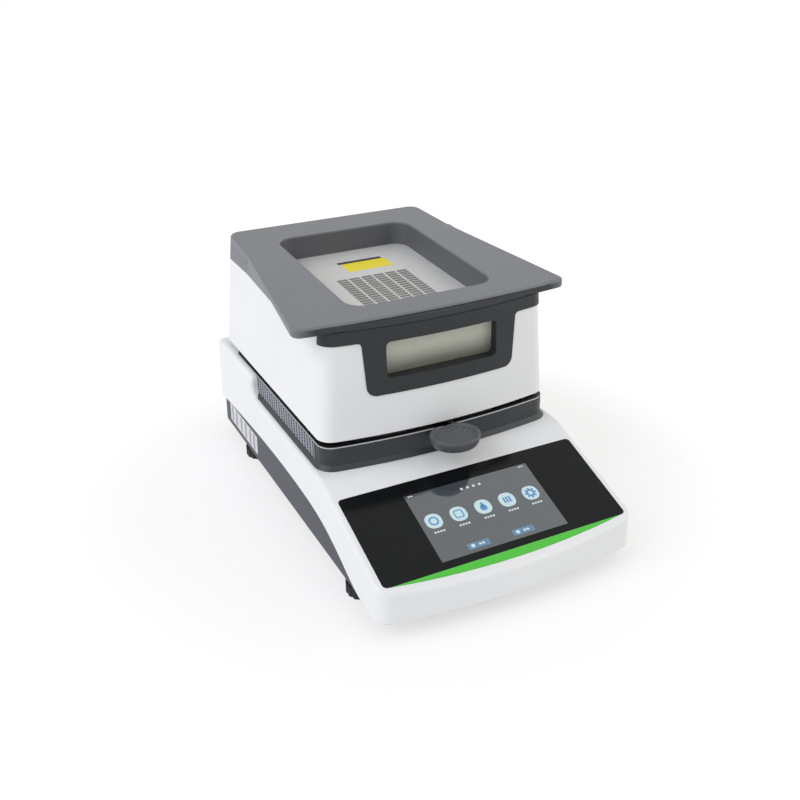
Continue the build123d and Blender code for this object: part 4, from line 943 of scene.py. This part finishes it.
class ANALYZER_OT_labels(bpy.types.Operator):
    """Adds the plain labels on the tub's side and in the tray"""

    bl_idname = "analyzer.labels"
    bl_label = "Add the labels"

    def execute(self, context):
        # Yellow polyester film, satin, die-cut with round corners
        yellow = moulded("polyester_film_yellow", "#F2E01C", "#F6E528", 0.4, 2.0, 0.01, 0.1)
        centre = np.array([[6.5, -(162.0 - 84.0) / np.cos(COVER)]])
        body = slab(rounded(42, 19, 1.2), -19.88, -20.0, centre)
        mesh_piece("tray_label", *on_cover(body), yellow, "lid", "grey_cover")
        dark = moulded("polyester_print_dark", "#2B2C2E", "#323335", 0.4, 2.0, 0.01, 0.1)
        strip = slab(rounded(42, 4.4, 0.6), -19.88, -20.0, centre + (-2.0, 11.9))
        mesh_piece("tray_label_strip", *on_cover(strip), dark, "lid", "grey_cover")
        # Paper rating plate without print: silver-white film with plain grey bands
        film = moulded("polyester_film_silver", "#D2D3D6", "#DADBDE", 0.35, 2.0, 0.01, 0.1)
        plate = slab(rounded(79, 18, 0.8), 0.12, 0.0, [(-127.5, 26.5)])
        mesh_piece("tub_label", *on_tub_side(plate), film, "base", "white_housing")
        grey = moulded("polyester_print_grey", "#8E9096", "#989AA0", 0.4, 2.0, 0.01, 0.1)
        bars = np.array([(-160, 26.5), (-148, 26.5), (-134, 26.5), (-121, 26.5), (-108, 26.5), (-97, 26.5)])
        mesh_piece(
            "tub_label_bands", *on_tub_side(
                slab(rounded(4.2, 15.5, 0.4), 0.17, 0.1, bars)
            ), grey, "base", "dark_tub"
        )
        return {"FINISHED"}


class ANALYZER_OT_guards(bpy.types.Operator):
    """Puts the perforated plates on the collar's sides and the louvres over the tray's slots"""

    bl_idname = "analyzer.guards"
    bl_label = "Fit the plates and louvres"

    def execute(self, context):
        # Punched and powder-coated sheet steel: grey faces, with the holes' walls painted near-black as painted
        # shade inside the holes
        sheet = coated_with_hole_shade("steel_sheet_coated_grey_hole_shade", "#9496A0", "#101113", 0.1013, 0.45)
        face_x, thickness = 101.45, 2.0
        low, high = (-47.0, 80.7), (93.0, 95.3)
        columns, rows, hole = 24, 6, (1.6, 0.95)
        for side, name in ((-1, "left"), (1, "right")):
            plate = perforated(face_x, thickness, low, high, columns, rows, hole, side)
            piece = mesh_piece(f"collar_plate_{name}", *plate, sheet, "base", "dark_hood")
            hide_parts(f"side_grille_{name}")
        # Pressed louvres of the tray's floor, raised towards the rear and left dull by the press
        pressed = moulded("steel_sheet_pressed", "#74746F", "#7E7E79", 0.5, 1.5, 0.04, 0.2)
        section = np.array([(-1.25, -0.1), (1.25, 0.35), (1.25, 0.55), (-1.25, 0.15)])
        across_count, across_pitch, blade_half_width = 6, 11.2, 4.55
        rows, row_pitch, floor_drop = 13, 4.7, 20.0
        middle = (30.0 - 162.0) / np.cos(COVER)
        along = middle + (np.arange(rows) - (rows - 1) / 2) * row_pitch
        places = np.column_stack([along, np.full(rows, -floor_drop)])
        blades = []
        for across in (np.arange(across_count) - (across_count - 1) / 2) * across_pitch:
            points, faces = slab(section, across + blade_half_width, across - blade_half_width, places)
            blades.append((points[:, [2, 0, 1]], faces))
        mesh_piece("tray_louvres", *on_cover(joined(blades)), pressed, "lid", "sheet_steel")
        return {"FINISHED"}


class ANALYZER_OT_grip(bpy.types.Operator):
    """Shapes the finger grip of the pan handler, with its rim and its waved grooves"""

    bl_idname = "analyzer.grip"
    bl_label = "Shape the grip"

    def execute(self, context):
        # Glass-filled PBT, moulded: satin
        soft = moulded(
            "pbt_grip_grey", "#4A4C50", "#54565A", 0.42, context.scene.analyzer_finish.grain_mm, 0.04, 0.2
        )
        surface = grip_surface(
            centre=-87.7, half_width=20.5, half_depth=18.0, top=97.7, bottom=89.5, rear=-72.4
        )
        piece = mesh_piece("finger_grip", *surface, soft, "handler", "grey_cover", smooth=True, weld=True)
        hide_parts("handler_grip")
        return {"FINISHED"}


class ANALYZER_OT_heater(bpy.types.Operator):
    """Adds the tungsten coil inside the lamp's quartz ring"""

    bl_idname = "analyzer.heater"
    bl_label = "Add the lamp's coil"

    def execute(self, context):
        # Drawn tungsten wire wound into a coil of 200 turns and bent into a ring of 42 mm
        turns, steps = 200, 2400
        ring_radius, coil_radius, wire_radius = 42, 1.5, 0.28
        centre_y, centre_z = 30, 160
        turn = np.linspace(0, 2 * np.pi, steps, endpoint=False)
        wind = turn * turns
        reach = ring_radius + coil_radius * np.cos(wind)
        height = centre_z + coil_radius * np.sin(wind)
        path = np.stack([reach * np.sin(turn), centre_y - reach * np.cos(turn), height], axis=1)
        wire = metal("tungsten_coiled", "#6E6A66", "#8F8A85", 0.35, 0.4, (1, 1, 1), 0.2)
        mesh_piece(
            "lamp_coil",
            *tube(path, wire_radius, steps=5, closed=True),
            wire,
            "lid",
            "turned_steel",
            smooth=True,
        )
        return {"FINISHED"}


class ANALYZER_OT_stage(bpy.types.Operator):
    """Sets the floor, the lights and the camera"""

    bl_idname = "analyzer.stage"
    bl_label = "Set the stage"

    def execute(self, context):
        sizes = context.scene.analyzer_stage
        scene = context.scene
        scene.view_settings.view_transform = "Standard"
        mesh = bpy.data.meshes.new("floor")
        mesh.from_pydata([(-6, -6, 0), (6, -6, 0), (6, 6, 0), (-6, 6, 0)], [], [(0, 1, 2, 3)])
        floor = bpy.data.objects.new("floor", mesh)
        scene.collection.objects.link(floor)
        mesh.materials.append(paper(sizes.shadow))
        world = bpy.data.worlds.new("studio")
        scene.world = world
        world.use_nodes = True
        tree = world.node_tree
        tree.nodes.clear()
        white = add_node(tree, "ShaderNodeBackground", values={"Color": (1, 1, 1, 1), "Strength": 1.0})
        soft = add_node(
            tree, "ShaderNodeBackground", values={"Color": linear("#FBFBFA"), "Strength": sizes.sky}
        )
        mix = add_node(
            tree,
            "ShaderNodeMixShader",
            links={0: seen_rays(tree), 1: soft.outputs[0], 2: white.outputs[0]},
        )
        add_node(tree, "ShaderNodeOutputWorld", links={"Surface": mix.outputs[0]})
        broad_light("key", (1.0, 0.05, -0.75), "#F4F6FF", sizes.key_power, sizes.key_angle)
        broad_light("fill", (-0.9, 0.4, -0.4), "#FFFCF2", sizes.fill_power, sizes.key_angle)
        camera = bpy.data.objects.new("camera", bpy.data.cameras.new("camera"))
        camera.data.lens = sizes.lens
        camera.data.sensor_width = 36.0
        camera.data.clip_start = 0.01
        place = Vector((-0.3278, -0.6629, 0.4596))
        azimuth, elevation, roll = np.radians((-26.01, 26.71, -0.85))
        back = Vector(
            (np.sin(azimuth) * np.cos(elevation), -np.cos(azimuth) * np.cos(elevation), np.sin(elevation))
        )
        level = (-back).cross(Vector((0, 0, 1))).normalized()
        over = level.cross(-back)
        right = np.cos(roll) * level + np.sin(roll) * over
        up = -np.sin(roll) * level + np.cos(roll) * over
        camera.matrix_world = Matrix.Translation(place) @ Matrix((right, up, back)).transposed().to_4x4()
        scene.collection.objects.link(camera)
        scene.camera = camera
        return {"FINISHED"}


def broad_light(name, way, colour, power, angle):
    """Light that shines one way from a broad patch of the sky."""
    data = bpy.data.lights.new(name, "SUN")
    data.energy = power
    data.angle = angle
    data.color = linear(colour)[:3]
    light = bpy.data.objects.new(name, data)
    light.rotation_mode = "QUATERNION"
    light.rotation_quaternion = Vector(way).to_track_quat("-Z", "Y")
    bpy.context.scene.collection.objects.link(light)


def seen_rays(tree):
    """One for what the camera sees directly, in a reflection or through glass, else zero."""
    path = add_node(tree, "ShaderNodeLightPath")
    direct = add_node(
        tree,
        "ShaderNodeMath",
        operation="MAXIMUM",
        links={0: path.outputs["Is Camera Ray"], 1: path.outputs["Is Transmission Ray"]},
    )
    every = add_node(
        tree,
        "ShaderNodeMath",
        operation="MAXIMUM",
        links={0: direct.outputs[0], 1: path.outputs["Is Glossy Ray"]},
    )
    return every.outputs[0]


def paper(shadow):
    """White studio paper: it shows the shadow near the object and turns to plain white away from it."""
    material, tree, output = new_material("paper_background")
    noise = grain(tree, 4.0)
    paper_shader = add_node(
        tree,
        "ShaderNodeBsdfPrincipled",
        values={"Specular IOR Level": 0.0},
        links={
            "Base Color": tinted(tree, noise, "#FAFAFA", "#FCFCFC"),
            "Roughness": between(tree, noise, 0.85, 0.95),
        },
    )
    coordinates = add_node(tree, "ShaderNodeTexCoord")
    reach = add_node(
        tree,
        "ShaderNodeVectorMath",
        operation="LENGTH",
        links={0: coordinates.outputs["Object"]},
    )
    plain = add_node(
        tree,
        "ShaderNodeMapRange",
        interpolation_type="SMOOTHSTEP",
        values={"From Min": 0.2, "From Max": 0.4, "To Min": 1 - shadow, "To Max": 1.0},
        links={"Value": reach.outputs["Value"]},
    )
    share = add_node(
        tree,
        "ShaderNodeMath",
        operation="MULTIPLY",
        links={0: plain.outputs["Result"], 1: seen_rays(tree)},
    )
    glow = add_node(tree, "ShaderNodeEmission", values={"Color": (1, 1, 1, 1), "Strength": 1.08})
    mix = add_node(
        tree,
        "ShaderNodeMixShader",
        links={0: share.outputs[0], 1: paper_shader.outputs["BSDF"], 2: glow.outputs["Emission"]},
    )
    tree.links.new(mix.outputs[0], output.inputs["Surface"])
    return material


class ANALYZER_PT_panel(bpy.types.Panel):
    """Lists the analyzer's settings and steps"""

    bl_label = "Moisture Analyzer"
    bl_idname = "ANALYZER_PT_panel"
    bl_space_type = "VIEW_3D"
    bl_region_type = "UI"
    bl_category = "Analyzer"

    def draw(self, context):
        for group in ("analyzer_finish", "analyzer_screen", "analyzer_stage"):
            settings = getattr(context.scene, group)
            box = self.layout.box()
            for name in settings.bl_rna.properties.keys():
                if name not in ("rna_type", "name"):
                    box.prop(settings, name)
        for step in STEPS:
            self.layout.operator(step.bl_idname)


GROUPS = {"analyzer_finish": FinishSizes, "analyzer_screen": ScreenSizes, "analyzer_stage": StageSizes}
STEPS = (
    ANALYZER_OT_finishes,
    ANALYZER_OT_screen,
    ANALYZER_OT_labels,
    ANALYZER_OT_guards,
    ANALYZER_OT_grip,
    ANALYZER_OT_heater,
    ANALYZER_OT_stage,
)


def register():
    """Registers the groups, the steps and the panel."""
    for name, group in GROUPS.items():
        bpy.utils.register_class(group)
        setattr(bpy.types.Scene, name, bpy.props.PointerProperty(type=group))
    for step in STEPS:
        bpy.utils.register_class(step)
    bpy.utils.register_class(ANALYZER_PT_panel)


def unregister():
    """Removes what register added."""
    bpy.utils.unregister_class(ANALYZER_PT_panel)
    for step in reversed(STEPS):
        bpy.utils.unregister_class(step)
    for name, group in GROUPS.items():
        delattr(bpy.types.Scene, name)
        bpy.utils.unregister_class(group)


def main():
    """Registers the add-on and runs every step in order."""
    register()
    for step in STEPS:
        module, action = step.bl_idname.split(".")
        getattr(getattr(bpy.ops, module), action)()


if __name__ == "__main__":
    main()
